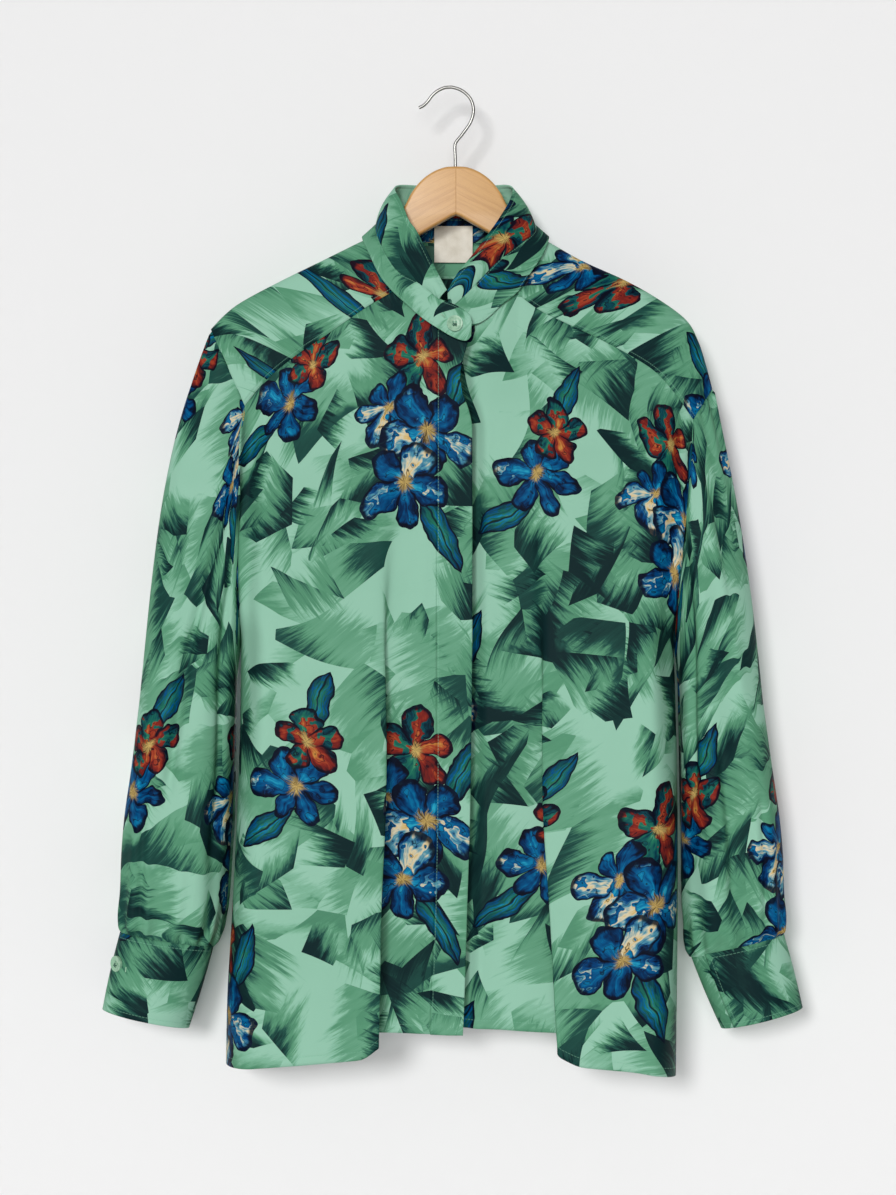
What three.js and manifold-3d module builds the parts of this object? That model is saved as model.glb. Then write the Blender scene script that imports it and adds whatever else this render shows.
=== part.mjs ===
// A long-sleeved silk blouse hanging on a flat wooden hanger.
// Lengths are in millimetres. X runs across, Y is depth with the front at -Y, and Z is up.
// The origin is where the hook's bend rests on its support. "drop" is a distance below it, and
// "out" is a distance sideways from the garment's centre line. "left" is the wearer's left, at +X.
import * as THREE from "three";
import Module from "manifold-3d";

const wasm = await Module();
wasm.setup();

// Driving sizes
const centreX = 5.3; // the centre line stands this far to the side of the hook's bend
const layer = 1.1; // wall of one layer of cloth
const collarWall = 1.4; // two layers and their interlining
const seamGap = 0.3; // clear space left at every seam
const underarmDrop = 486;
const woodThickness = 12;
const woodBevel = 2.5;
const woodClearance = 5; // from the crest of the cloth's outside down to the wood
const hookWire = 3.2;
const hookDepth = 24; // how far the hook's stem goes into the wood
const buttonRadius = 6.9;
const buttonHeight = 2.6;
const labelWidth = 34;
const labelDrop = { top: 118, bottom: 150 };

// Mesh density
const neckColumns = 4;
const yokeColumns = 17;
const armRows = 7;
const skirtRows = 8;

// Front panels: one row for each level. edge is the front edge, side and sideDepth are the armhole
// down to the underarm and then the side seam, lap and step are the long fold's overlap and depth.
const leftLevels = [
  { drop: 200, edge: -18, side: 207.7, sideDepth: 20, centre: 29, panel: 25, fold: 66, lap: 0, step: 0 },
  { drop: 291, edge: -18, side: 207.7, sideDepth: 20, centre: 31, panel: 29, fold: 67, lap: 0, step: 0 },
  { drop: 312, edge: -18, side: 206.6, sideDepth: 26, centre: 31.5, panel: 31, fold: 68, lap: 0, step: 1 },
  { drop: 363, edge: -18, side: 201.5, sideDepth: 33, centre: 32, panel: 37, fold: 69, lap: 1, step: 3 },
  { drop: 415, edge: -18, side: 196.2, sideDepth: 33, centre: 32, panel: 41, fold: 71, lap: 3, step: 5 },
  { drop: 459, edge: -18, side: 192.7, sideDepth: 21, centre: 32, panel: 42, fold: 73, lap: 5, step: 7 },
  { drop: 486, edge: -18, side: 191.6, sideDepth: 0, centre: 32, panel: 42, fold: 74, lap: 7, step: 9 },
  { drop: 539, edge: -18, side: 193, sideDepth: 0, centre: 32, panel: 42, fold: 75, lap: 11, step: 12 },
  { drop: 627, edge: -18.5, side: 193.6, sideDepth: 0, centre: 31, panel: 41, fold: 80, lap: 17, step: 16 },
  { drop: 715, edge: -20, side: 193.4, sideDepth: 0, centre: 30, panel: 39, fold: 90, lap: 22, step: 20 },
  { drop: 803, edge: -24, side: 193, sideDepth: 0, centre: 29, panel: 37, fold: 98, lap: 25, step: 23 },
  { drop: 869, edge: -26, side: 192.5, sideDepth: 0, centre: 29, panel: 36, fold: 103, lap: 26, step: 24 },
];
const rightLevels = [
  { drop: 200, edge: 16.5, side: 185, sideDepth: 20, centre: 33, panel: 27, fold: 54, lap: 0, step: 0 },
  { drop: 279, edge: 16.5, side: 185, sideDepth: 20, centre: 35, panel: 30, fold: 55, lap: 0, step: 0 },
  { drop: 303, edge: 16.5, side: 188, sideDepth: 26, centre: 36, panel: 32, fold: 56, lap: 0, step: 1 },
  { drop: 363, edge: 16.5, side: 189.5, sideDepth: 33, centre: 37, panel: 38, fold: 57, lap: 1, step: 3 },
  { drop: 415, edge: 16.5, side: 190, sideDepth: 33, centre: 37, panel: 42, fold: 59, lap: 4, step: 6 },
  { drop: 459, edge: 16.5, side: 189.6, sideDepth: 21, centre: 37, panel: 43, fold: 61, lap: 7, step: 8 },
  { drop: 486, edge: 16.5, side: 189.2, sideDepth: 0, centre: 37, panel: 43, fold: 62, lap: 9, step: 10 },
  { drop: 539, edge: 16.5, side: 189.6, sideDepth: 0, centre: 37, panel: 43, fold: 63, lap: 13, step: 13 },
  { drop: 627, edge: 17, side: 192, sideDepth: 0, centre: 36, panel: 42, fold: 67, lap: 18, step: 17 },
  { drop: 715, edge: 18.5, side: 195.4, sideDepth: 0, centre: 35, panel: 40, fold: 74, lap: 22, step: 20 },
  { drop: 803, edge: 21.5, side: 199.6, sideDepth: 0, centre: 34, panel: 38, fold: 78, lap: 25, step: 22 },
  { drop: 869, edge: 23.5, side: 200.6, sideDepth: 0, centre: 34, panel: 37, fold: 80, lap: 26, step: 23 },
];
const foldWidth = 14;

// Hem, by the distance out from the centre line before the long fold laps
const leftHem = [
  { out: -30, drop: 822 }, { out: 30, drop: 823.5 }, { out: 60, drop: 825 }, { out: 89, drop: 827 },
  { out: 117, drop: 845 }, { out: 126, drop: 852 }, { out: 160, drop: 857 }, { out: 170, drop: 859 },
  { out: 182, drop: 863 }, { out: 193, drop: 867 },
];
const rightHem = [
  { out: 0, drop: 828 }, { out: 30, drop: 826.5 }, { out: 66, drop: 825 }, { out: 94, drop: 836.5 },
  { out: 103, drop: 846 }, { out: 128, drop: 849.5 }, { out: 160, drop: 852 }, { out: 176, drop: 853 },
  { out: 201, drop: 855.5 },
];

// The edge of the overlapping placket, which gapes below the collar
const placketEdge = [
  { drop: 200, out: -11 }, { drop: 226, out: -10 }, { drop: 236, out: -7 }, { drop: 254, out: -3.4 },
  { drop: 267, out: -4.8 }, { drop: 287, out: -11.5 }, { drop: 301, out: -14 }, { drop: 451, out: -14.1 },
  { drop: 627, out: -12.3 }, { drop: 715, out: -9.7 }, { drop: 803, out: -7 }, { drop: 835, out: -5.6 },
];

// Seams on one shoulder. ridge is the crest that lies on the hanger
const leftRidge = [
  { out: 80.7, drop: 134.4 }, { out: 111, drop: 151.4 }, { out: 149.6, drop: 169 },
  { out: 180.4, drop: 186.6 }, { out: 203, drop: 204 }, { out: 213, drop: 222 },
  { out: 219.5, drop: 242 }, { out: 225.3, drop: 264 },
];
const rightRidge = [
  { out: 82, drop: 133.8 }, { out: 118, drop: 151.4 }, { out: 154, drop: 169 },
  { out: 187, drop: 186.6 }, { out: 202, drop: 197.6 }, { out: 215.6, drop: 211.5 },
];
const leftYokeSeam = [
  { out: 54.2, drop: 181.5, depth: 23 }, { out: 73.9, drop: 196, depth: 22 },
  { out: 100.3, drop: 208.6, depth: 20 }, { out: 126.7, drop: 221, depth: 19 },
  { out: 153.1, drop: 235, depth: 18 }, { out: 175.1, drop: 249.5, depth: 18 },
  { out: 192.5, drop: 269, depth: 19 }, { out: 207.7, drop: 291, depth: 20 },
];
const rightYokeSeam = [
  { out: 57.2, drop: 180.4, depth: 23 }, { out: 78.3, drop: 192.7, depth: 22 },
  { out: 100.8, drop: 208, depth: 20 }, { out: 116, drop: 218.5, depth: 19 },
  { out: 133.8, drop: 230, depth: 18 }, { out: 154.9, drop: 246, depth: 18 },
  { out: 170.7, drop: 261, depth: 19 }, { out: 185, drop: 279, depth: 20 },
];
const leftNeck = [
  { out: -18, drop: 221, depth: 29.5 }, { out: 0, drop: 219, depth: 29.5 },
  { out: 12.3, drop: 215.6, depth: 29.5 }, { out: 27.7, drop: 205, depth: 29 },
  { out: 41, drop: 192, depth: 26.5 }, { out: 54.2, drop: 181.5, depth: 23 },
];
const rightNeck = [
  { out: -10.5, drop: 225.5, depth: 34 }, { out: 4.8, drop: 220.9, depth: 34 },
  { out: 16.5, drop: 214.4, depth: 33.5 }, { out: 27, drop: 207.5, depth: 32 },
  { out: 42, drop: 195, depth: 28 }, { out: 57.2, drop: 180.4, depth: 23 },
];
const backNeckDepth = 30;
const backNeckDrop = 135.5;
const backYoke = { drop: 236, depth: 27 }; // the seam across the back

// Back panel: one row for each level
const backLevels = [
  { drop: 220, depth: 26, wave: 0 }, { drop: 300, depth: 28, wave: 1 }, { drop: 415, depth: 31, wave: 2.5 },
  { drop: 539, depth: 34, wave: 4 }, { drop: 700, depth: 37, wave: 6 }, { drop: 869, depth: 40, wave: 8 },
];
const backHem = [
  { out: -201, drop: 855.5 }, { out: -150, drop: 848 }, { out: -80, drop: 833 }, { out: 0, drop: 827 },
  { out: 80, drop: 833 }, { out: 150, drop: 854 }, { out: 193, drop: 867 },
];

// Sleeves: one row for each level under the armhole, seen from the front
const leftSleeve = [
  { drop: 539, inner: 196.4, outer: 268.8, depth: 37 },
  { drop: 592, inner: 197.4, outer: 276.4, depth: 38 },
  { drop: 645, inner: 198, outer: 284.4, depth: 38 },
  { drop: 680, inner: 198.4, outer: 287.6, depth: 37 },
  { drop: 715, inner: 199.4, outer: 288.6, depth: 35 },
  { drop: 738, inner: 203, outer: 287.6, depth: 31 },
];
const rightSleeve = [
  { drop: 539, inner: 193.2, outer: 278.4, depth: 37 },
  { drop: 592, inner: 194.4, outer: 284.6, depth: 38 },
  { drop: 645, inner: 196.2, outer: 292.2, depth: 38 },
  { drop: 680, inner: 198.8, outer: 295, depth: 37 },
  { drop: 715, inner: 202, outer: 296, depth: 34 },
  { drop: 735, inner: 207.5, outer: 295, depth: 30 },
];
// Cuffs: the ends of the seam ring and of the lower edge, seen from the front
const leftCuff = {
  top: { inner: [206, 762], outer: [287, 742.5], depth: 25 },
  bottom: { inner: [233, 826], outer: [303.6, 807.5], depth: 27 },
  opening: 0.13, way: 1, overlap: 0.09,
};
const rightCuff = {
  top: { inner: [214, 753.5], outer: [293.5, 741], depth: 25 },
  bottom: { inner: [235.5, 825.5], outer: [308.6, 809], depth: 27 },
  opening: 0.48, way: -1, overlap: 0.09,
};
const cuffGathers = 9;
const capGathers = 6;

// Collar, spoke by spoke from the buttoned end round the back to the end under it: the neck seam,
// the line where the leaf joins the stand, and the leaf's free edge. Across, drop, depth.
const collarSeam = [
  [12.8, 221, -39.6], [8, 225, -39.6], [-3, 221.5, -38.6], [-17, 213, -36.6], [-30, 204, -34],
  [-43, 192.5, -30.6], [-57, 179, -26.4], [-67, 166, -23.4], [-76, 147.5, -19.5], [-82, 131.4, -4],
  [-70, 131, 14], [-38, 133, 25.4], [0, 134.2, 30], [38, 133, 25.4], [69, 131, 14], [81, 131.2, -4],
  [76, 147.5, -19.5], [66, 163, -22.4], [54.2, 180.6, -25.6], [40, 192.5, -28.4], [22, 208, -31.2],
  [-4, 216, -31.6],
];
const collarJoin = [
  [13.6, 208.6, -41], [10.8, 201.5, -41.4], [-0.5, 194, -41], [-14.1, 188.4, -39.6], [-24, 180.5, -37],
  [-36, 171.5, -33], [-50, 163.5, -27.5], [-60, 149, -21.5], [-67.5, 132, -12], [-69, 119, 4],
  [-58, 110.5, 16], [-30, 109.5, 26.4], [0, 110, 29.8], [30, 109.5, 26.4], [57, 110.5, 16],
  [68, 119, 4], [67, 128.5, -10], [53, 140.5, -20], [37, 153, -25.4], [22, 169, -30], [7, 185, -33],
  [-6, 197, -33.6],
];
const collarEdge = [
  [-4, 188, -41.4], [-5, 187, -41.4], [-6, 185, -41.4], [-8.4, 181.5, -41], [-14.5, 169.5, -38.6],
  [-24, 149.5, -34.5], [-34.3, 128.5, -28.5], [-41, 118.4, -22.5], [-48, 100, -12], [-53.4, 88.5, 0],
  [-48, 83, 14], [-28, 82, 25], [0, 82, 29], [28, 82, 25], [44, 83, 14], [49.5, 88.5, 2],
  [46.6, 100, -9], [39, 114, -19], [30, 128, -26.5], [14.5, 149.5, -31.6], [2, 165, -33.8],
  [-7.6, 181, -34.4],
];
const leafFrom = 3; // the spoke where the leaf begins
const leafGap = 1.3; // kept along the fold line, where the two layers meet at an angle
const collarBow = 3.5; // how far the leaf's middle stands out of the straight line

// Hanger: half the outline of the wood, out and drop
const woodTop = [
  [0, 68.6], [10, 69.4], [21, 73.8], [31, 81.4], [39, 91.6], [44.5, 102.2], [52, 114], [64, 125],
];
const woodBottom = [
  [194, 217], [150, 196.5], [100, 168], [50, 139.2], [4, 112.6],
];
const woodEnd = { out: 198, drop: 206 };
const woodTopOnRidge = [90, 110, 130, 150, 170, 185];

// The hook's centre line: across and up, from inside the wood to the tip
const hookLine = [
  [4.7, -68.6 - hookDepth], [4.7, -64], [4.4, -50], [6.2, -45.6], [10.6, -40.2], [18.1, -29.2],
  [20.7, -19.1], [19, -10.7], [14.8, -4.8], [8.8, -0.6], [2.1, hookWire / 2 - 0.1],
  [0, hookWire / 2], [-4.6, 1.1], [-10.6, -1.5], [-15.5, -5.6], [-19.4, -10.7], [-23.1, -14.4],
  [-27.3, -16.6],
];

// Tools for smooth tables and curves
function column(table, key, name) {
  const xs = table.map((row) => row[key]);
  const ys = table.map((row) => row[name]);
  const last = xs.length - 1;
  const slopes = xs.slice(1).map((x, i) => (ys[i + 1] - ys[i]) / (x - xs[i]));
  const tangents = xs.map((x, i) => {
    if (i === 0) return slopes[0];
    if (i === last) return slopes[last - 1];
    if (slopes[i - 1] * slopes[i] <= 0) return 0;
    return (2 * slopes[i - 1] * slopes[i]) / (slopes[i - 1] + slopes[i]);
  });
  return (x) => {
    if (x <= xs[0]) return ys[0];
    if (x >= xs[last]) return ys[last];
    let i = 0;
    while (x > xs[i + 1]) i += 1;
    const step = xs[i + 1] - xs[i];
    const t = (x - xs[i]) / step;
    const a = (1 + 2 * t) * (1 - t) ** 2;
    const b = t * (1 - t) ** 2 * step;
    const c = t * t * (3 - 2 * t);
    const d = t * t * (t - 1) * step;
    return a * ys[i] + b * tangents[i] + c * ys[i + 1] + d * tangents[i + 1];
  };
}
const mix = (a, b, t) => a + (b - a) * t;
const smooth = (low, high, x) => {
  const t = Math.min(1, Math.max(0, (x - low) / (high - low)));
  return t * t * (3 - 2 * t);
};
const point = (x, y, z) => new THREE.Vector3(x, y, z);
function seamCurve(table, sign) {
  const points = table.map((row) => point(sign * row.out, -(row.depth ?? 0), -row.drop));
  return new THREE.CatmullRomCurve3(points, false, "catmullrom", 0.5);
}
function ringCurve(table) {
  const points = table.map(([x, drop, y]) => point(x, y, -drop));
  return new THREE.CatmullRomCurve3(points, false, "catmullrom", 0.5);
}
const steps = (count) => Array.from({ length: count + 1 }, (_, i) => i / count);

// One side of the front. s runs from the front edge to the side seam
function frontSide(sign, levels, hemTable, neckTable, yokeTable) {
  const value = {};
  for (const name of ["edge", "side", "sideDepth", "centre", "panel", "fold", "lap", "step"]) {
    value[name] = column(levels, "drop", name);
  }
  const hem = column(hemTable, "out", "drop");
  const flatShare = (drop) => {
    const turn = 1.4 * (value.panel(drop) + value.step(drop) - value.sideDepth(drop)) + 12;
    const flat = value.side(drop) - value.edge(drop) - turnReach(drop);
    return flat / (flat + turn);
  };
  const turnReach = (drop) => 8 + 0.45 * (value.panel(drop) - value.sideDepth(drop));
  function section(s, drop) {
    const share = flatShare(drop);
    const reach = turnReach(drop);
    const edge = value.edge(drop);
    const side = value.side(drop);
    const flatEnd = side - reach;
    const out = edge + (flatEnd - edge) * Math.min(1, s / share);
    const fold = value.fold(drop);
    const lap = value.lap(drop);
    const across = (out - fold) / foldWidth;
    const swing = across * Math.exp((1 - across * across) / 2);
    const forward = value.step(drop) * (0.5 + 0.5 * Math.tanh(1.5 * across));
    const flat = mix(value.centre(drop), value.panel(drop), smooth(22, 110, out));
    const depth = flat + forward;
    if (s <= share) return [out - lap * swing, depth];
    const angle = (((s - share) / (1 - share)) * Math.PI) / 2;
    const seam = value.sideDepth(drop);
    const depthTurned = seam + (depth - seam) * Math.cos(angle);
    return [flatEnd + reach * Math.sin(angle) - lap * swing * Math.cos(angle), depthTurned];
  }
  const neck = seamCurve(neckTable, 1);
  const yoke = seamCurve(yokeTable, 1);
  const neckShare = 0.3;
  const neckStart = neckTable.findIndex((row) => row.out >= levels[0].edge - 0.01);
  const top = (s) => {
    if (s >= neckShare) return yoke.getPointAt((s - neckShare) / (1 - neckShare));
    const from = neckStart / (neckTable.length - 1);
    return neck.getPoint(mix(from, 1, s / neckShare));
  };
  const fade = 150;
  function surface(s, drop) {
    const start = top(s);
    const began = section(s, -start.z);
    const here = section(s, drop);
    const w = 1 - smooth(0, fade, drop + start.z);
    const x = here[0] + (start.x - began[0]) * w;
    const y = here[1] + (-start.y - began[1]) * w;
    return point(sign * x, -y, -drop);
  }
  const flatOut = (s) => {
    const level = levels[levels.length - 1].drop;
    const share = flatShare(level);
    const flatEnd = value.side(level) - turnReach(level);
    if (s <= share) return mix(value.edge(level), flatEnd, s / share);
    return mix(flatEnd, value.side(level), (s - share) / (1 - share));
  };
  const drops = (s, row) => {
    const start = -top(s).z;
    if (row <= armRows) return mix(start, underarmDrop, row / armRows);
    return mix(underarmDrop, hem(flatOut(s)), (row - armRows) / skirtRows);
  };
  return { value, section, surface, top, drops, hem, neckShare };
}
const left = frontSide(1, leftLevels, leftHem, leftNeck, leftYokeSeam);
const right = frontSide(-1, rightLevels, rightHem, rightNeck, rightYokeSeam);

// A mesh of four-sided faces from one or more grids of points; equal points become one
function joined(grids) {
  const points = [];
  const faces = [];
  const seen = new Map();
  const indexOf = (p) => {
    const key = [p.x, p.y, p.z].map((v) => Math.round(v * 2000)).join();
    if (!seen.has(key)) {
      seen.set(key, points.length);
      points.push(p);
    }
    return seen.get(key);
  };
  for (const grid of grids) {
    const index = grid.map((row) => row.map(indexOf));
    for (let i = 0; i + 1 < index.length; i += 1) {
      for (let j = 0; j + 1 < index[i].length; j += 1) {
        faces.push([index[i][j], index[i][j + 1], index[i + 1][j + 1], index[i + 1][j]]);
      }
    }
  }
  return { points, faces };
}

function faceNormal(points, [a, b, c, d]) {
  const one = points[c].clone().sub(points[a]);
  const two = points[d].clone().sub(points[b]);
  return one.cross(two);
}

// A wall: the sheet's own face and one behind it, joined along the edges
function wall(sheet, thickness) {
  const { points, faces } = sheet;
  const normals = points.map(() => point(0, 0, 0));
  for (const face of faces) {
    const normal = faceNormal(points, face);
    face.forEach((corner) => normals[corner].add(normal));
  }
  const count = points.length;
  const behind = points.map((p, i) => p.clone().addScaledVector(normals[i].normalize(), -thickness));
  const triangles = [];
  const uses = new Map();
  const addQuad = (a, b, c, d) => triangles.push(a, b, c, a, c, d);
  for (const [a, b, c, d] of faces) {
    addQuad(a, b, c, d);
    addQuad(d + count, c + count, b + count, a + count);
    for (const [from, to] of [[a, b], [b, c], [c, d], [d, a]]) uses.set(`${from},${to}`, [from, to]);
  }
  for (const [from, to] of uses.values()) {
    if (!uses.has(`${to},${from}`)) addQuad(to, from, from + count, to + count);
  }
  const positions = [...points, ...behind].flatMap((p) => [p.x, p.y, p.z]);
  const geometry = new THREE.BufferGeometry();
  geometry.setAttribute("position", new THREE.Float32BufferAttribute(positions, 3));
  geometry.setIndex(triangles);
  return geometry;
}

// Booleans
function solidOf(geometry) {
  const welded = new THREE.BufferGeometry();
  const indexed = weld(geometry);
  welded.setAttribute("position", indexed.positions);
  return new wasm.Manifold(
    new wasm.Mesh({
      numProp: 3,
      vertProperties: indexed.positions.array,
      triVerts: indexed.triangles,
    }),
  );
}
function weld(geometry) {
  const source = geometry.index ? geometry.toNonIndexed() : geometry;
  const place = source.getAttribute("position");
  const seen = new Map();
  const kept = [];
  const triangles = [];
  for (let i = 0; i < place.count; i += 1) {
    const p = [place.getX(i), place.getY(i), place.getZ(i)];
    const key = p.map((v) => Math.round(v * 1000)).join();
    if (!seen.has(key)) {
      seen.set(key, kept.length / 3);
      kept.push(...p);
    }
    triangles.push(seen.get(key));
  }
  const whole = [];
  for (let i = 0; i < triangles.length; i += 3) {
    const [a, b, c] = triangles.slice(i, i + 3);
    if (a !== b && b !== c && c !== a) whole.push(a, b, c);
  }
  return { positions: new THREE.Float32BufferAttribute(kept, 3), triangles: new Uint32Array(whole) };
}
function geometryOf(solid) {
  const mesh = solid.getMesh();
  const geometry = new THREE.BufferGeometry();
  geometry.setAttribute("position", new THREE.Float32BufferAttribute(mesh.vertProperties, 3));
  geometry.setIndex(new THREE.BufferAttribute(mesh.triVerts, 1));
  return geometry;
}

// Materials
const silk = new THREE.MeshStandardMaterial({ color: 0x8fc2a6, roughness: 0.5, metalness: 0 });
const silkShade = new THREE.MeshStandardMaterial({ color: 0x6fa587, roughness: 0.55, metalness: 0 });
const beech = new THREE.MeshStandardMaterial({ color: 0xdcb27a, roughness: 0.55, metalness: 0 });
const steel = new THREE.MeshStandardMaterial({ color: 0xc4c4c2, roughness: 0.28, metalness: 1 });
const shell = new THREE.MeshStandardMaterial({ color: 0xb9d6c0, roughness: 0.3, metalness: 0 });
const ribbon = new THREE.MeshStandardMaterial({ color: 0xe2ddcd, roughness: 0.7, metalness: 0 });

const garment = new THREE.Group();
garment.position.x = centreX;
const blouse = new THREE.Group();
blouse.add(garment);
function add(name, geometry, material, group = garment) {
  const mesh = new THREE.Mesh(geometry, material);
  mesh.name = name;
  group.add(mesh);
  return mesh;
}

// Front panels
const halfGap = seamGap / 2;
function panelColumns(side) {
  const hemLevel = side === left ? leftLevels : rightLevels;
  const value = side.value;
  const level = hemLevel[hemLevel.length - 1].drop;
  const edge = value.edge(level);
  const reach = value.side(level);
  const foldAt = (value.fold(level) - edge) / (reach - edge);
  const near = steps(neckColumns).map((t) => t * side.neckShare);
  const rest = [];
  for (const t of steps(yokeColumns).slice(1)) {
    rest.push(mix(side.neckShare, 1, t));
  }
  const all = [...near, ...rest];
  const pull = 0.045;
  return all.map((s) => {
    if (s <= side.neckShare || s === 1) return s;
    const inside = Math.sin((Math.PI * (s - side.neckShare)) / (1 - side.neckShare));
    return s - pull * Math.sin(2 * Math.PI * (s - foldAt * 0.72)) * inside;
  });
}
function frontPanel(side, from = 0) {
  const inset = halfGap / 230;
  const columns = panelColumns(side).map((s) => mix(from + inset, 1 - inset, s));
  const rows = steps(armRows + skirtRows).map((t) => t * (armRows + skirtRows));
  return rows.map((row) =>
    columns.map((s) => {
      const drop = side.drops(s, row) + (row === 0 ? halfGap : 0);
      return side.surface(s, drop);
    }),
  );
}
const flip = (grid) => grid.map((row) => [...row].reverse());
const frontLeft = frontPanel(left);
const frontRight = frontPanel(right);
add("front_left", wall(joined([flip(frontLeft)]), layer), silk);
add("front_right", wall(joined([frontRight]), layer), silk);

// Placket: from the right front's edge to its own free edge
const placketOut = column(placketEdge, "drop", "out");
const placketColumns = 4;
const placketTop = { seam: 214.6, edge: 225.4 };
function placketPoint(t, share) {
  const top = mix(placketTop.seam, placketTop.edge, t) + halfGap;
  const drop = mix(top, right.hem(mix(16, -12, t)), share);
  const seamX = -right.value.edge(drop) + seamGap;
  const x = mix(seamX, -placketOut(drop), t);
  return point(x, -right.value.centre(drop) - 0.4, -drop);
}
const placketGrid = steps(armRows + skirtRows + 3).map((share) =>
  steps(placketColumns).map((t) => placketPoint(t, share)),
);
add("front_placket", wall(joined([flip(placketGrid)]), 1.4), silk);

// Yoke: half of it is a band from the front seam over the crest to the middle of the back
const backSteps = [-1, -0.95, -0.9, -0.86, -0.74, -0.62, -0.5, -0.38, -0.26, -0.13, 0];
const crestShares = [0, 0.35, 0.7, 0.93];
const backShares = [0, 0.035, 0.16, 0.4, 0.7, 1];
const yokeLift = 0.7; // its front edge stands this far above the front panels
const backCorner = (side) => {
  const yokeTable = side === left ? leftYokeSeam : rightYokeSeam;
  const last = yokeTable[yokeTable.length - 1];
  return { x: last.out, drop: last.drop, depth: last.depth };
};
const backSeamDrop = (u, corner) => mix(backYoke.drop, corner.drop, u ** 1.7);
const backSeamDepth = (u, corner) => mix(backYoke.depth, corner.depth, u ** 3);
function backSeamPoint(side, sign, u) {
  const corner = backCorner(side);
  return point(sign * corner.x * u, backSeamDepth(u, corner), -backSeamDrop(u, corner));
}
function yokeHalf(side, sign) {
  const yokeTable = side === left ? leftYokeSeam : rightYokeSeam;
  const ridgeTable = side === left ? leftRidge : rightRidge;
  const seam = seamCurve(yokeTable, sign);
  const crest = seamCurve(ridgeTable, sign);
  const across = panelColumns(side)
    .filter((s) => s >= side.neckShare)
    .map((s) => mix(0.004, 0.9985, (s - side.neckShare) / (1 - side.neckShare)));
  const rows = [];
  for (const share of crestShares) {
    rows.push(
      across.map((w) => {
        const low = seam.getPointAt(w);
        const high = crest.getPointAt(w);
        const p = low.clone().lerp(high, share);
        p.y = low.y * (1 - share) ** 0.35;
        if (share === 0) p.z += yokeLift;
        return p;
      }),
    );
  }
  rows.push(across.map((w) => crest.getPointAt(w)));
  const corner = backCorner(side);
  const neckStart = crest.getPoint(0);
  const armStart = crest.getPoint(1);
  const neckBack = [[0, 0, 0], [0.17, 69, 14], [0.55, 38, 25.4], [1, 0, 30]];
  for (const share of backShares.slice(1)) {
    const bend = share ** 0.35;
    rows.push(
      across.map((w) => {
        const high = crest.getPointAt(w);
        const neckX = mix(Math.abs(neckStart.x), 70, Math.min(1, share));
        const neck = point(sign * neckX, 15 * bend, -mix(-neckStart.z, 131.5, share));
        const arm = point(
          sign * mix(Math.abs(armStart.x), corner.x, share),
          corner.depth * bend,
          -mix(-armStart.z, corner.drop - seamGap, share),
        );
        const line = neck.clone().lerp(arm, w);
        const crestLine = neckStart.clone().lerp(armStart, w);
        return line.add(high.clone().sub(crestLine).multiplyScalar((1 - share) ** 1.5));
      }),
    );
  }
  // From the back corner to the middle
  for (const back of backSteps.slice(2)) {
    const share = 1 + back;
    rows.push(
      across.map((w) => {
        const angle = (share * Math.PI) / 2;
        const neck = point(
          sign * 70 * (1 - share),
          mix(15, 30, Math.sin(angle)),
          -mix(131.5, 134.6, share),
        );
        const low = backSeamPoint(side, sign, 1 - share);
        low.z += yokeLift;
        return neck.lerp(low, w);
      }),
    );
  }
  return rows;
}
const yokeLeft = yokeHalf(left, 1);
const yokeRight = yokeHalf(right, -1);
const yokeGrid = [...yokeLeft, ...[...yokeRight].reverse().slice(1)];
add("yoke", wall(joined([yokeGrid]), layer), silk);

// Back panel
const backValue = { depth: column(backLevels, "drop", "depth"), wave: column(backLevels, "drop", "wave") };
const backHemDrop = column(backHem, "out", "drop");
const backFlat = 0.86;
function backPoint(t, row) {
  const side = t < 0 ? right : left;
  const sign = t < 0 ? -1 : 1;
  const u = Math.abs(t);
  const start = backSeamPoint(side, sign, u);
  const outMost = side.value.side(869);
  const end = backHemDrop(sign * u * outMost);
  const top = -start.z;
  const drop =
    row <= armRows
      ? mix(top, underarmDrop, row / armRows)
      : mix(underarmDrop, end, (row - armRows) / skirtRows);
  const section = (d) => {
    const reach = side.value.side(d);
    const seam = d >= underarmDrop ? 0.32 : side.value.sideDepth(d);
    const depth = backValue.depth(d) + backValue.wave(d) * Math.sin(5.5 * t + 0.6);
    if (u <= backFlat) return [(reach - 26) * (u / backFlat), depth];
    const angle = ((u - backFlat) / (1 - backFlat)) * (Math.PI / 2);
    return [reach - 26 + 26 * Math.sin(angle), seam + (depth - seam) * Math.cos(angle)];
  };
  const began = section(top);
  const here = section(drop);
  const w = 1 - smooth(0, 140, drop - top);
  const x = here[0] + (Math.abs(start.x) - began[0]) * w;
  const y = here[1] + (start.y - began[1]) * w;
  return point(sign * x, y, -drop);
}
const backColumnShares = [...backSteps, ...backSteps.slice(0, -1).reverse().map((t) => -t)];
const backGrid = steps(armRows + skirtRows).map((share) => {
  const row = Math.round(share * (armRows + skirtRows));
  return backColumnShares.map((t) => backPoint(t, row));
});
add("back", wall(joined([backGrid]), layer), silk);

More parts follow.
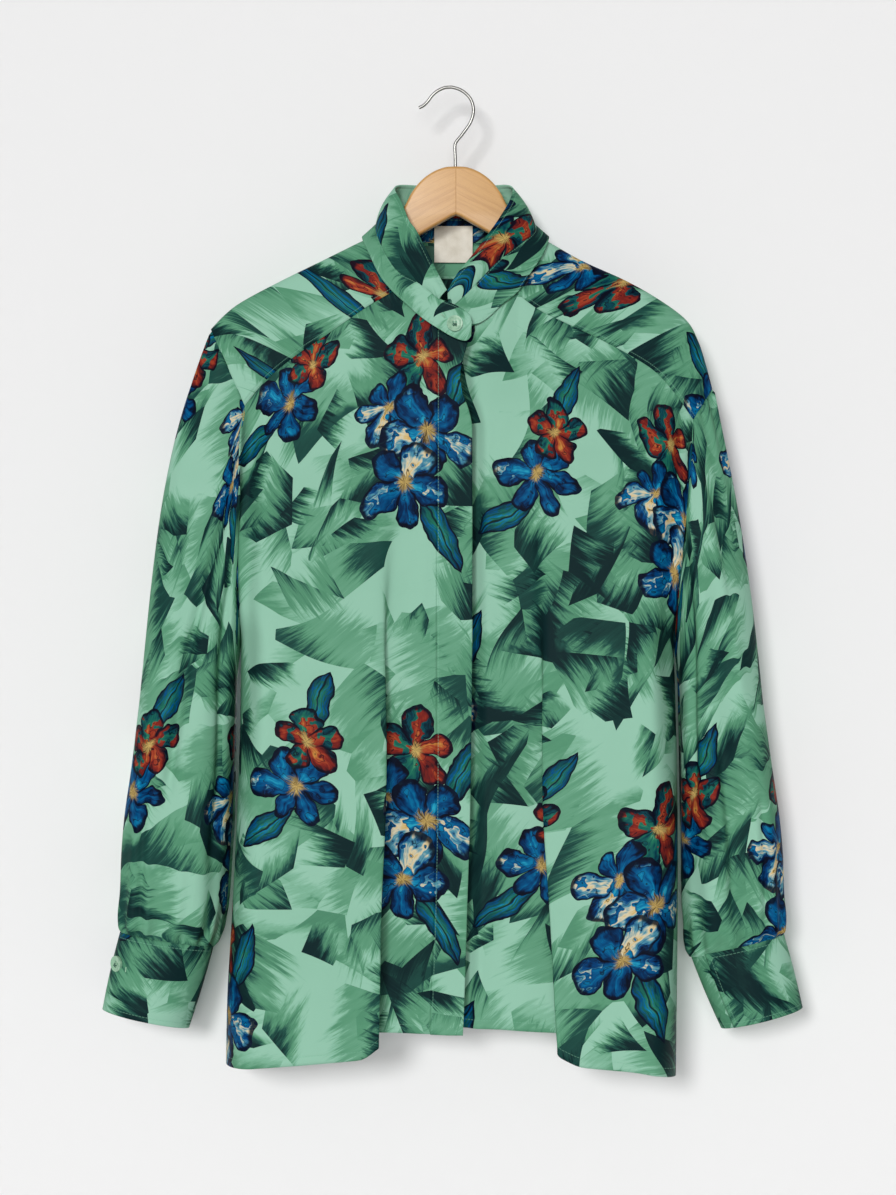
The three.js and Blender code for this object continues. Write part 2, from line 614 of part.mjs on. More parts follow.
// Sleeves
const capRows = 7;
function sleeveGrid(side, sign, front, yokeRows, sleeveTable, cuff) {
  const alongFront = front.slice(0, armRows + 1).map((row) => row[row.length - 1]);
  const overCrest = yokeRows.slice(0, crestShares.length + backShares.length).map((row) => row[row.length - 1]);
  const backColumn = sign > 0 ? backColumnShares.length - 1 : 0;
  const alongBack = backGrid.slice(0, armRows + 1).map((row) => row[backColumn]);
  const loop = [
    ...[...alongFront].reverse(),
    ...overCrest.slice(1, -1),
    ...alongBack.slice(0, -1),
  ].map((p) => p.clone().add(point(sign * 0.45, 0, -0.1)));
  const count = loop.length;
  const crestIndex = alongFront.length + crestShares.length - 1;
  const angles = loop.map((_, i) => {
    const half = i <= crestIndex ? i / crestIndex : 1 + (i - crestIndex) / (count - crestIndex);
    return half * Math.PI;
  });
  const values = {};
  for (const name of ["inner", "outer", "depth"]) values[name] = column(sleeveTable, "drop", name);
  const oval = (angle, inner, outer, depth, lobes) => {
    const swell = 1 + lobes * Math.cos(5 * angle + 0.8);
    const middle = (inner + outer) / 2;
    const half = (outer - inner) / 2;
    const x = middle - half * Math.cos(angle);
    const y = -depth * Math.sin(angle) * swell;
    return [sign * x, y];
  };
  const firstDrop = sleeveTable[0].drop;
  const grid = [];
  const ringPoint = (i, drop) => {
    const lobes = mix(0.05, 0.1, smooth(firstDrop, 700, drop));
    const [x, y] = oval(angles[i], values.inner(drop), values.outer(drop), values.depth(drop), lobes);
    return point(x, y, -drop);
  };
  for (const t of steps(capRows)) {
    grid.push(
      loop.map((from, i) => {
        const to = ringPoint(i, firstDrop);
        const far = from.distanceTo(to);
        const outness = (1 - Math.cos(angles[i])) / 2;
        const slope = sign > 0 ? mix(0.12, 0.27, outness) : mix(0.12, 0.45, outness);
        const puff = -0.16 * Math.sin(angles[i]);
        const startPull = point(sign * slope, puff, -1).multiplyScalar(far);
        const endPull = point(sign * 0.1 * outness, 0, -1).multiplyScalar(far);
        const a = (1 + 2 * t) * (1 - t) ** 2;
        const b = t * (1 - t) ** 2;
        const c = t * t * (3 - 2 * t);
        const d = t * t * (t - 1);
        const p = from.clone().multiplyScalar(a).addScaledVector(startPull, b);
        p.addScaledVector(to, c).addScaledVector(endPull, d);
        const gather = Math.sin(Math.PI * Math.min(1, t * 2.2)) * Math.sin(angles[i]) ** 2;
        p.y += -Math.sign(Math.sin(angles[i])) * gather * (i % 2 ? 1.1 : -1.1);
        return p;
      }),
    );
  }
  for (const row of sleeveTable.slice(1)) grid.push(loop.map((_, i) => ringPoint(i, row.drop)));
  const cuffRing = (i, grow) => cuffPoint(cuff, sign, angles[i], 0, grow);
  const last = sleeveTable[sleeveTable.length - 1].drop;
  for (const t of [0.5, 1]) {
    grid.push(
      loop.map((_, i) => {
        const from = ringPoint(i, last);
        const to = cuffRing(i, i % 2 ? -0.4 : 1.6).add(point(0, 0, 0.5));
        return from.lerp(to, t * t * (3 - 2 * t));
      }),
    );
  }
  return grid.map((row) => [...row, row[0]]);
}
function cuffPoint(cuff, sign, angle, along, grow) {
  const share = (1 - Math.cos(angle)) / 2;
  const at = (ring) => {
    const x = mix(ring.inner[0], ring.outer[0], share);
    const drop = mix(ring.inner[1], ring.outer[1], share);
    return point(sign * x, -ring.depth * Math.sin(angle), -drop);
  };
  const p = at(cuff.top).lerp(at(cuff.bottom), along);
  return p.add(point(-sign * Math.cos(angle) * grow, -Math.sin(angle) * grow, 0));
}
const sleeveLeft = sleeveGrid(left, 1, frontLeft, yokeLeft, leftSleeve, leftCuff);
const sleeveRight = sleeveGrid(right, -1, frontRight, yokeRight, rightSleeve, rightCuff);
add("sleeve_left", wall(joined([flip(sleeveLeft)]), layer), silk);
add("sleeve_right", wall(joined([sleeveRight]), layer), silk);

// Cuffs: bands whose outer end laps over the inner one
const cuffColumns = 26;
const cuffRows = 3;
function cuffGrid(cuff, sign) {
  const start = cuff.opening * 2 * Math.PI;
  const turn = cuff.way * (1 + cuff.overlap) * 2 * Math.PI;
  return steps(cuffRows).map((along) =>
    steps(cuffColumns).map((t) => {
      const lapped = smooth(1 - 0.2, 0, t) * 2.6;
      return cuffPoint(cuff, sign, start + turn * t, along, lapped);
    }),
  );
}
add("cuff_left", wall(joined([flip(cuffGrid(leftCuff, 1))]), 1.5), silk);
add("cuff_right", wall(joined([flip(cuffGrid(rightCuff, -1))]), 1.5), silk);

// Collar
const collarCurve = { seam: ringCurve(collarSeam), join: ringCurve(collarJoin), edge: ringCurve(collarEdge) };
const spokes = collarSeam.length - 1;
const collarSteps = 42;
function standPoint(t, w) {
  return collarCurve.seam.getPoint(t).lerp(collarCurve.join.getPoint(t), w);
}
function leafPoint(t, w) {
  const low = collarCurve.join.getPoint(t);
  const high = collarCurve.edge.getPoint(t);
  const lift = high.clone().sub(low).normalize().multiplyScalar(leafGap);
  const p = low.clone().add(lift).lerp(high, w);
  const bow = Math.sin(Math.PI * w) * collarBow * Math.sin(Math.PI * t) ** 0.5;
  const away = point(p.x, p.y * 2, 0).normalize();
  return p.addScaledVector(away, bow);
}
const standGrid = [0, 0.5, 1].map((w) => steps(collarSteps).map((t) => standPoint(t, w)));
const leafStart = leafFrom / spokes;
const leafGrid = [0, 0.33, 0.66, 1].map((w) =>
  steps(collarSteps - 4).map((t) => leafPoint(mix(leafStart, 1, t), w)),
);
add("collar_stand", wall(joined([standGrid]), collarWall), silk);
add("collar_leaf", wall(joined([leafGrid]), collarWall), silk);

// Neck facing: a band inside the back of the neck, against the yoke
const facing = { width: 52, top: 135.6, bottom: 164.5, clear: 0.6 };
function facingPoint(x, share) {
  const u = Math.abs(x) / 70;
  const bottom = mix(facing.bottom, facing.top + 6, u ** 3);
  const drop = mix(facing.top, bottom, share);
  const neckDepth = mix(15, 30, Math.sin(((1 - u) * Math.PI) / 2));
  const depth = neckDepth - share * 1.5 - layer - facing.clear;
  return point(x, depth, -drop);
}
const facingGrid = [0, 0.5, 1].map((share) =>
  steps(12).map((t) => facingPoint(mix(-facing.width, facing.width, t), share)),
);
add("neck_facing", wall(joined([facingGrid]), layer), silkShade);

// Label
const labelPlace = { x: -2.2, depth: 24.2, thickness: 1 };
const labelGeometry = new THREE.BoxGeometry(
  labelWidth,
  labelPlace.thickness,
  labelDrop.bottom - labelDrop.top,
);
labelGeometry.translate(labelPlace.x, labelPlace.depth, -(labelDrop.top + labelDrop.bottom) / 2);
add("label", labelGeometry, ribbon);

// Buttons: a turned disc with a rim, two crossing threads in its dish
function button(name, place, facingWay, spin) {
  const profile = [
    [0, 0], [5.4, 0], [buttonRadius - 0.3, 0.7], [buttonRadius, 1.3], [buttonRadius - 0.25, 2.1],
    [buttonRadius - 1, buttonHeight], [buttonRadius - 1.9, buttonHeight - 0.2],
    [buttonRadius - 2.7, buttonHeight - 0.9], [0, buttonHeight - 0.9],
  ].map(([r, h]) => new THREE.Vector2(r, h));
  let disc = solidOf(new THREE.LatheGeometry(profile, 22));
  for (const turn of [45, -45]) {
    const thread = new THREE.CylinderGeometry(0.45, 0.45, 4.2, 6);
    thread.rotateZ(Math.PI / 2).rotateY((turn * Math.PI) / 180).translate(0, buttonHeight - 0.8, 0);
    disc = disc.add(solidOf(thread));
  }
  const geometry = geometryOf(disc);
  const up = point(0, 1, 0);
  const turnUp = new THREE.Quaternion().setFromUnitVectors(up, facingWay.clone().normalize());
  geometry.rotateY(spin);
  geometry.applyQuaternion(turnUp);
  geometry.translate(place.x, place.y, place.z);
  add(name, geometry, shell);
}
button("button_collar", point(-1.2, -42.7, -211.3), point(0.03, -1, 0.08), 0.3);
const cuffButtonAngle = 0.415 * 2 * Math.PI;
const cuffButtonOn = cuffPoint(rightCuff, -1, cuffButtonAngle, 0.4, 2.6);
const cuffButtonWay = point(Math.cos(cuffButtonAngle) / 42, -Math.sin(cuffButtonAngle) / 26, 0).normalize();
button("button_cuff_right", cuffButtonOn.addScaledVector(cuffButtonWay, 0.8), cuffButtonWay, 0.2);

// Hanger: a flat board with an arched middle and arms under the shoulders
function woodOutline() {
  const crestLeft = column(leftRidge, "out", "drop");
  const crestRight = column(rightRidge, "out", "drop");
  const half = (crest) => [
    ...woodTop,
    ...woodTopOnRidge.map((out) => [out, crest(out) + woodClearance]),
    [woodEnd.out - 3, crest(woodEnd.out - 3) + woodClearance + 2],
    [woodEnd.out + 1, woodEnd.drop + 5],
    [woodEnd.out, woodBottom[0][1] - 1],
    ...woodBottom,
  ];
  const plus = half(crestLeft);
  const minus = half(crestRight)
    .slice(1)
    .reverse()
    .map(([x, drop]) => [-x, drop]);
  return [...plus, ...minus];
}
const woodShape = new THREE.Shape(woodOutline().map(([x, drop]) => new THREE.Vector2(x, -drop)));
const woodGeometry = new THREE.ExtrudeGeometry(woodShape, {
  depth: woodThickness - 2 * woodBevel,
  bevelThickness: woodBevel,
  bevelSize: woodBevel,
  bevelOffset: -woodBevel,
  bevelSegments: 2,
});
woodGeometry.rotateX(Math.PI / 2).translate(0, woodThickness / 2 - woodBevel, 0);

// Hook: a bent wire, its stem fixed in the wood
const hookCurve = new THREE.CatmullRomCurve3(
  hookLine.map(([x, z]) => point(x, 0, z)),
  false,
  "catmullrom",
  0.5,
);
const wireSides = 8;
const wireSteps = 46;
const tube = new THREE.TubeGeometry(hookCurve, wireSteps, hookWire / 2, wireSides, false);
function closedTube(geometry) {
  const place = geometry.getAttribute("position");
  const ring = wireSides + 1;
  const points = Array.from({ length: place.count }, (_, i) =>
    point(place.getX(i), place.getY(i), place.getZ(i)),
  );
  const ends = [0, place.count - ring].map((start) => {
    const middle = point(0, 0, 0);
    for (let i = 0; i < wireSides; i += 1) middle.add(points[start + i]);
    return middle.divideScalar(wireSides);
  });
  const triangles = [...geometry.index.array];
  const last = place.count - ring;
  for (let i = 0; i < wireSides; i += 1) {
    triangles.push(place.count, i, i + 1);
    triangles.push(place.count + 1, last + i + 1, last + i);
  }
  const all = [...points, ...ends].flatMap((p) => [p.x, p.y, p.z]);
  const closed = new THREE.BufferGeometry();
  closed.setAttribute("position", new THREE.Float32BufferAttribute(all, 3));
  closed.setIndex(triangles);
  return closed;
}
const wire = solidOf(closedTube(tube));
add("hook", geometryOf(wire), steel, blouse);
const socket = new THREE.CylinderGeometry(hookWire / 2 + 0.3, hookWire / 2 + 0.3, hookDepth + 30, 16);
socket.rotateX(Math.PI / 2).translate(hookLine[0][0] - centreX, 0, hookLine[0][1] - 0.6 + hookDepth / 2 + 15);
const wood = solidOf(woodGeometry).subtract(solidOf(socket));
add("hanger_wood", geometryOf(wood), beech);

export default blouse;
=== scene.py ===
import math
import bmesh
import bpy
import numpy as np
from mathutils import Matrix, Vector


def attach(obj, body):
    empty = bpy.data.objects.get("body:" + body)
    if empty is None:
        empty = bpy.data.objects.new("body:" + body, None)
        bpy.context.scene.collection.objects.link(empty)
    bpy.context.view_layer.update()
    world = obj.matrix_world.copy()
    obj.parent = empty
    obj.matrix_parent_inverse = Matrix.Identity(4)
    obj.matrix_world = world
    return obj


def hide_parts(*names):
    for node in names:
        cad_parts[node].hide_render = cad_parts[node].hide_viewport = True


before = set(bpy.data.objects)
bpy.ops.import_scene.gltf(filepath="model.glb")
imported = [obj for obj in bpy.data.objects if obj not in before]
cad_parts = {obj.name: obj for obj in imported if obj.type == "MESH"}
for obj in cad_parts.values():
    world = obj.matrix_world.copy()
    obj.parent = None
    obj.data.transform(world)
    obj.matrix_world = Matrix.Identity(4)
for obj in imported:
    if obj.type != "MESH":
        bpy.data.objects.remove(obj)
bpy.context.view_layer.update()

print("frame loaded")

# Lengths are in millimetres until a mesh is made. The garment's centre line stands beside the hook's bend.
mm = 0.001
centreX = 5.3
fullTurn = 2 * math.pi


def deselect():
    for obj in bpy.context.selected_objects:
        obj.select_set(False)


def choose(obj):
    deselect()
    obj.select_set(True)
    bpy.context.view_layer.objects.active = obj


def rows(names, *lists):
    return [dict(zip(names.split(), values)) for values in lists]


# Camera, wall, floor and lights
studio = {
    "mmPerPixel": 0.88, "frame": (896, 1195), "hookPixel": (450, 89), "distance": 2.6,
    "wallY": 0.0505, "floorZ": -1.45, "wallColour": (0.812, 0.81, 0.81),
    "key": {"toward": (0.27, 1.0, -0.23), "power": 1.62, "spread": 13},
    "fill": {"toward": (0.03, 1.0, -0.04), "power": 0.94, "spread": 20},
    "rear": {"toward": (0.0, -1.0, -0.04), "power": 1.1, "spread": 30},
    "world": 0.2,
}
scene = bpy.context.scene
scene.view_settings.view_transform = "Standard"


def makeCamera(s):
    data = bpy.data.cameras.new("camera")
    camera = bpy.data.objects.new("camera", data)
    scene.collection.objects.link(camera)
    wide, high = s["frame"]
    data.sensor_fit = "VERTICAL"
    data.angle = 2 * math.atan(high / 2 * s["mmPerPixel"] * mm / s["distance"])
    data.clip_end = 50
    x = (wide / 2 - s["hookPixel"][0]) * s["mmPerPixel"] * mm
    z = (s["hookPixel"][1] - high / 2) * s["mmPerPixel"] * mm
    camera.location = (x, -s["distance"], z)
    camera.rotation_euler = (math.pi / 2, 0, 0)
    scene.camera = camera


def makeLight(name, s):
    data = bpy.data.lights.new(name, "SUN")
    data.angle = math.radians(s["spread"])
    data.energy = s["power"]
    light = bpy.data.objects.new(name, data)
    scene.collection.objects.link(light)
    light.rotation_euler = Vector(s["toward"]).to_track_quat("-Z", "Y").to_euler()


makeCamera(studio)
for lamp in ("key", "fill", "rear"):
    makeLight(f"{lamp}Light", studio[lamp])
world = bpy.data.worlds.new("studioAir")
world.use_nodes = True
air = world.node_tree.nodes["Background"].inputs
air["Color"].default_value = (1, 1, 1, 1)
air["Strength"].default_value = studio["world"]
scene.world = world
print("camera and lights placed")


# Shader maths: a socket that understands Python's operators
class Wire:
    def __init__(self, dye, socket):
        self.dye = dye
        self.socket = socket

    def maths(self, operation, *others):
        return self.dye.node("ShaderNodeMath", {"operation": operation}, dict(enumerate((self, *others))))

    def __rsub__(self, other):
        return (self * -1.0) + other

    def rise(self, low, high):
        return self.dye.node("ShaderNodeMapRange", {"interpolation_type": "SMOOTHSTEP"},
                             {"Value": self, "From Min": low, "From Max": high, "To Min": 0.0, "To Max": 1.0})


def wireMethod(operation):
    return lambda self, *others: self.maths(operation, *others)


operators = {
    "__add__": "ADD", "__radd__": "ADD", "__sub__": "SUBTRACT", "__mul__": "MULTIPLY", "__rmul__": "MULTIPLY",
    "__truediv__": "DIVIDE", "__pow__": "POWER", "__gt__": "GREATER_THAN", "__lt__": "LESS_THAN",
    "__mod__": "FLOORED_MODULO", "__abs__": "ABSOLUTE", "sin": "SINE", "floor": "FLOOR", "root": "SQRT",
    "most": "MAXIMUM",
}
for name, operation in operators.items():
    setattr(Wire, name, wireMethod(operation))


shaderInputs = {
    "colour": "Base Color", "rough": "Roughness", "normal": "Normal", "metal": "Metallic",
    "specular": "Specular IOR Level", "coat": "Coat Weight", "coatRough": "Coat Roughness",
    "sheen": "Sheen Weight",
}


class Dye:
    def __init__(self, name):
        self.material = bpy.data.materials.new(name)
        self.material.use_nodes = True
        self.tree = self.material.node_tree
        self.shader = self.tree.nodes["Principled BSDF"]

    def node(self, kind, settings, sockets, out=0):
        made = self.tree.nodes.new(kind)
        stops = settings.pop("stops", None)
        for key, value in settings.items():
            setattr(made, key, value)
        if stops:
            ramp = made.color_ramp
            while len(ramp.elements) < len(stops):
                ramp.elements.new(0.5)
            for element, (place, colour) in zip(ramp.elements, stops):
                element.position = place
                element.color = (*colour, 1)
        for key, value in sockets.items():
            self.plug(made.inputs[key], value)
        if out is None:
            return made
        return Wire(self, made.outputs[out])

    def plug(self, socket, value):
        if isinstance(value, Wire):
            self.tree.links.new(value.socket, socket)
        elif isinstance(value, tuple) and len(value) < len(socket.default_value):
            socket.default_value = (*value, 1)
        else:
            socket.default_value = value

    def split(self, vector):
        made = self.node("ShaderNodeSeparateXYZ", {}, {0: vector}, None)
        return [Wire(self, made.outputs[i]) for i in range(3)]

    def join(self, x, y, z=0.0):
        return self.node("ShaderNodeCombineXYZ", {}, {0: x, 1: y, 2: z})

    def noise(self, vector, scale, detail=2.0, roughness=0.5, out=0):
        return self.node("ShaderNodeTexNoise", {"noise_dimensions": "3D"},
                         {"Vector": vector, "Scale": scale, "Detail": detail, "Roughness": roughness}, out)

    def blend(self, share, first, second, kind="MIX"):
        made = self.node("ShaderNodeMix", {"data_type": "RGBA", "blend_type": kind},
                         {0: share, 6: first, 7: second}, None)
        return Wire(self, made.outputs[2])

    def pick(self, share, first, second):
        return self.node("ShaderNodeMix", {"data_type": "FLOAT"}, {0: share, 2: first, 3: second})

    def ramp(self, value, stops, kind="LINEAR"):
        made = self.node("ShaderNodeValToRGB", {"stops": stops}, {0: value}, None)
        made.color_ramp.interpolation = kind
        return Wire(self, made.outputs[0])

    def uv(self, name):
        return self.node("ShaderNodeUVMap", {"uv_map": name}, {})

    def place(self):
        return self.node("ShaderNodeTexCoord", {}, {}, 3)

    def bump(self, height, strength, distance, under=None):
        sockets = {"Height": height, "Strength": strength, "Distance": distance}
        if under is not None:
            sockets["Normal"] = under
        return self.node("ShaderNodeBump", {}, sockets)

    def finish(self, **values):
        for key, value in values.items():
            self.plug(self.shader.inputs[shaderInputs[key]], value)
        return self.material


def paint(red, green, blue):
    return tuple(((c / 255 + 0.055) / 1.055) ** 2.4 if c > 10 else c / 255 / 12.92 for c in (red, green, blue))


def stopsOf(*stops):
    return [(at, paint(*rgb)) for at, *rgb in stops]


# Silk: a mint ground with brushed green facets and scattered flowers, in centimetres of the cloth's own UV
silk = {
    "mint": paint(143, 190, 167), "paleGreen": paint(122, 174, 147), "midGreen": paint(84, 142, 110),
    "darkGreen": paint(34, 78, 69), "nearBlack": paint(14, 38, 40), "thread": paint(120, 176, 148),
    "strokes": rows("turn long wide seed share depth fade",
        (38, 9.0, 5.8, 3.1, 0.92, 0.86, (-0.26, 0.42)), (-50, 8.6, 4.8, 17.7, 0.66, 1.0, (-0.14, 0.42)),
        (64, 9.5, 2.7, 41.3, 0.5, 0.96, (-0.04, 0.42)), (-18, 7.0, 3.6, 63.9, 0.3, 1.0, (0.0, 0.36)),
        (22, 5.6, 3.0, 88.3, 0.5, 0.5, (-0.1, 0.4))),
    "repeat": (25.0, 34.0), "drift": 4.5, "wobble": 2.2, "roughness": 0.5,
    # a stitch's length and pitch in millimetres, its half width and the seam's groove in metres
    "stitch": (1.9, 2.6), "stitchWide": 0.00035, "groove": 0.0014,
}
inks = {
    "blue": stopsOf((0.0, 40, 156, 184), (0.16, 8, 114, 156), (0.38, 2, 76, 124), (0.58, 2, 40, 80),
                    (0.8, 4, 12, 28)),
    "rust": stopsOf((0.0, 186, 132, 62), (0.2, 158, 66, 40), (0.42, 122, 36, 30), (0.64, 60, 24, 28),
                    (0.84, 8, 12, 27)),
    "cream": stopsOf((0.0, 176, 134, 62), (0.2, 200, 170, 104), (0.36, 206, 196, 166), (0.5, 76, 140, 158),
                     (0.66, 4, 66, 120), (0.88, 5, 18, 44)),
    "green": stopsOf((0.0, 110, 172, 130), (0.3, 32, 110, 86), (0.6, 8, 62, 74), (0.86, 6, 16, 30)),
    "heart": stopsOf((0.34, 60, 44, 30), (0.6, 216, 184, 108)),
    "rim": paint(8, 12, 27),
}
flowers = rows("x y size petals turn rust",
               (8.4, 26.6, 3.8, 5, 0.3, 1), (5.4, 22.4, 3.4, 6, 1.4, 0), (9.2, 20.4, 4.3, 5, 2.2, 0),
               (7.0, 15.4, 3.9, 5, 0.8, 0), (19.8, 6.4, 4.1, 6, 0.7, 0), (21.6, 10.4, 2.8, 5, 2.9, 1))
leaves = rows("x y halfLong halfWide degrees", (12.4, 25.4, 3.8, 1.3, 62), (10.4, 11.6, 3.6, 1.3, -58),
              (23.2, 14.0, 3.0, 1.1, 60), (16.6, 3.0, 3.4, 1.2, 30))


def brushedFacets(dye, x, y, s):
    turn = math.radians(s["turn"])
    across = (x * math.cos(turn) + y * math.sin(turn)) / s["long"] + s["seed"]
    up = (y * math.cos(turn) - x * math.sin(turn)) / s["wide"] + s["seed"]
    cell = dye.node("ShaderNodeTexVoronoi", {"voronoi_dimensions": "2D", "feature": "F1"},
                    {"Vector": dye.join(across, up), "Scale": 1.0, "Randomness": 0.88}, None)
    chance = dye.split(Wire(dye, cell.outputs["Color"]))
    middle = dye.split(Wire(dye, cell.outputs["Position"]))
    dx, dy = across - middle[0], up - middle[1]
    side = (chance[0] > 0.5) * 2.0 - 1.0
    lean = (chance[1] - 0.5) * 1.5
    along = (dx + dy * lean) * side
    beside = dy - dx * lean * 0.6
    bend = beside * beside * (chance[1] - 0.5) * 1.8
    hairs = dye.join(along * 1.5, (beside + bend) * 2.3 * s["wide"], chance[1] * 40.0)
    bristle = dye.noise(hairs, 1.0, 4.0, 0.76)
    reach = along + bend + (bristle - 0.5) * 0.95
    low, high = s["fade"]
    plateau = reach.rise(low, low + 0.26) * 0.5
    core = reach.rise(high - 0.24, high + 0.14) * 0.5
    dark = plateau + core + (bristle - 0.5) * 0.55 * plateau
    return dark * (chance[2] < s["share"]) * s["depth"]


def paintFlowers(dye, x, y, wobble, ground):
    inside, q, far, turned, kind, rust = 2.0, 0.5, 1.0, 0.0, 0.5, 0.0
    for number, s in enumerate(flowers):
        dx, dy = x - s["x"] + wobble[0], y - s["y"] + wobble[1]
        away = (dx * dx + dy * dy).root() / s["size"]
        rounds = (dy.maths("ARCTAN2", dx) + s["turn"] + fullTurn) * (s["petals"] / fullTurn)
        petal = rounds.floor() % float(s["petals"])
        edgeOn = abs((rounds % 1.0) - 0.5) * 2.0
        luck = ((petal * 12.9898 + number * 7.31).sin() * 437.5453) % 1.0
        within = away / ((1.0 - edgeOn ** 2.6) * 0.46 + 0.5 + (luck - 0.5) * 0.34)
        mask = within < 1.0
        inside, q, far = dye.pick(mask, inside, within), dye.pick(mask, q, edgeOn), dye.pick(mask, far, away)
        turned, kind = dye.pick(mask, turned, rounds + number * 3.0), dye.pick(mask, kind, luck)
        rust = dye.pick(mask, rust, float(s["rust"]))
    streak = dye.noise(dye.join(turned * 8.0, far * 1.4, kind), 1.0, 3.0, 0.68)
    light = dye.noise(dye.join(x * 0.62, y * 0.62, 9.0), 1.0, 2.0, 0.6)
    tone = q * 0.3 + inside * 0.36 + (streak - 0.5) * 0.95 + (light - 0.5) * 1.3 + 0.12
    odd = (kind + (light - 0.5) * 1.3 + far * 0.1) > 0.87
    blues = dye.blend(odd, dye.ramp(tone, inks["blue"]), dye.ramp(tone, inks["cream"]))
    reds = dye.blend(odd, dye.ramp(tone, inks["rust"]), dye.ramp(tone, inks["green"]))
    colour = dye.blend(rust, blues, reds)
    heart = 1.0 - (far + (streak - 0.5) * 0.6).rise(0.12, 0.2)
    colour = dye.blend(heart, colour, dye.ramp(streak, inks["heart"]))
    patch = abs((light * 4.6 + q * 0.6 + far * 0.8) % 1.0 - 0.5)
    lines = (1.0 - patch.rise(0.02, 0.07)) * 0.85
    rim = (inside + (streak - 0.5) * 0.14).rise(0.84, 0.92)
    gap = (q + (streak - 0.5) * 0.2).rise(0.84, 0.93) * far.rise(0.14, 0.3)
    colour = dye.blend(rim.most(gap).most(lines) * 0.94, colour, inks["rim"])
    return dye.blend(inside < 1.0, ground, colour)


def paintLeaves(dye, x, y, wobble, ground):
    inside, run, lie = 2.0, 0.0, 0.0
    for number, s in enumerate(leaves):
        turn = math.radians(s["degrees"])
        dx, dy = x - s["x"] + wobble[0] * 0.7, y - s["y"] + wobble[1] * 0.7
        along = (dx * math.cos(turn) + dy * math.sin(turn)) / s["halfLong"]
        beside = (dy * math.cos(turn) - dx * math.sin(turn)) / s["halfWide"]
        within = abs(beside) + along * along
        mask = within < 1.0
        inside, run = dye.pick(mask, inside, within), dye.pick(mask, run, along + number * 5.0)
        lie = dye.pick(mask, lie, beside)
    streak = dye.noise(dye.join(run * 2.0 + abs(lie) * 2.0, lie * 6.0, 3.0), 1.0, 3.0, 0.68)
    tone = inside * 0.5 + (streak - 0.5) * 1.3 + 0.2
    colour = dye.blend(streak > 0.47, dye.ramp(tone, inks["blue"]), dye.ramp(tone, inks["green"]))
    rim = (inside + (streak - 0.5) * 0.12).rise(0.82, 0.9).most(1.0 - abs(lie).rise(0.03, 0.1))
    colour = dye.blend(rim * 0.92, colour, inks["rim"])
    return dye.blend(inside < 1.0, ground, colour)


def makeSilk(name, fade=0.0):
    dye = Dye(name)
    flat = dye.split(dye.uv("cut"))
    x, y = flat[0] * 100.0, flat[1] * 100.0
    drift = dye.noise(dye.join(x * 0.09, y * 0.09), 1.0, 0.0, 0.5, None)
    push = dye.split(Wire(dye, drift.outputs["Color"]))
    warpedX, warpedY = x + (push[0] - 0.5) * silk["drift"], y + (push[1] - 0.5) * silk["drift"]
    dark = None
    for stroke in silk["strokes"]:
        layer = brushedFacets(dye, warpedX, warpedY, stroke)
        dark = layer if dark is None else dark.most(layer)
    wash = dye.noise(dye.join(x * 0.07, y * 0.11, 4.0), 1.0, 2.0, 0.55)
    dark = dark + (wash - 0.5) * 0.26
    colour = dye.ramp(dark, [(0.0, silk["mint"]), (0.24, silk["paleGreen"]), (0.5, silk["midGreen"]),
                             (0.78, silk["darkGreen"]), (1.0, silk["nearBlack"])])
    wide, high = silk["repeat"]
    column = (x / wide).floor()
    localX = x - column * wide
    localY = (y + column % 2.0 * (high / 2)) % high
    trembling = dye.noise(dye.join(x * 0.36, y * 0.36, 2.0), 1.0, 2.0, 0.5, None)
    wobble = [(part - 0.5) * silk["wobble"] for part in dye.split(Wire(dye, trembling.outputs["Color"]))]
    colour = paintLeaves(dye, localX, localY, wobble, colour)
    colour = paintFlowers(dye, localX, localY, wobble, colour)
    stitch = dye.split(dye.uv("seam"))
    line = abs(stitch[0]) < silk["stitchWide"]
    dash = ((stitch[1] * 1000.0) % silk["stitch"][1]) < silk["stitch"][0]
    colour = dye.blend(line * dash * 0.35, colour, silk["thread"])
    groove = 1.0 - abs(stitch[0]).rise(0.0, silk["groove"])
    if fade:
        colour = dye.blend(fade, colour, silk["paleGreen"])
    slub = dye.noise(dye.join(x * 0.9, y * 9.0), 1.0, 1.0, 0.6)
    height = ((x + y) * 90.0).sin() * 0.00001 + slub * 0.00008 - groove * 0.00045
    return dye.finish(colour=colour, rough=silk["roughness"] + (slub - 0.5) * 0.1,
                      normal=dye.bump(height, 0.5, 1.0), specular=0.03)


silkTwill = makeSilk("silkTwill")
print("silk printed")


# Tables and curves, the same as the solids'
def column(table, key, name):
    xs = np.array([row[key] for row in table], float)
    ys = np.array([row[name] for row in table], float)
    slopes = np.diff(ys) / np.diff(xs)
    tangents = np.zeros(len(xs))
    tangents[0], tangents[-1] = slopes[0], slopes[-1]
    for i in range(1, len(xs) - 1):
        a, b = slopes[i - 1], slopes[i]
        tangents[i] = 0 if a * b <= 0 else 2 * a * b / (a + b)

    def value(x):
        x = np.clip(np.asarray(x, float), xs[0], xs[-1])
        i = np.clip(np.searchsorted(xs, x, side="right") - 1, 0, len(xs) - 2)
        step = xs[i + 1] - xs[i]
        t = (x - xs[i]) / step
        return ((1 + 2 * t) * (1 - t) ** 2 * ys[i] + t * (1 - t) ** 2 * step * tangents[i]
                + t * t * (3 - 2 * t) * ys[i + 1] + t * t * (t - 1) * step * tangents[i + 1])
    return value


def mix(a, b, t):
    return a + (b - a) * t


def smooth(low, high, x):
    t = np.clip((np.asarray(x, float) - low) / (high - low), 0, 1)
    return t * t * (3 - 2 * t)


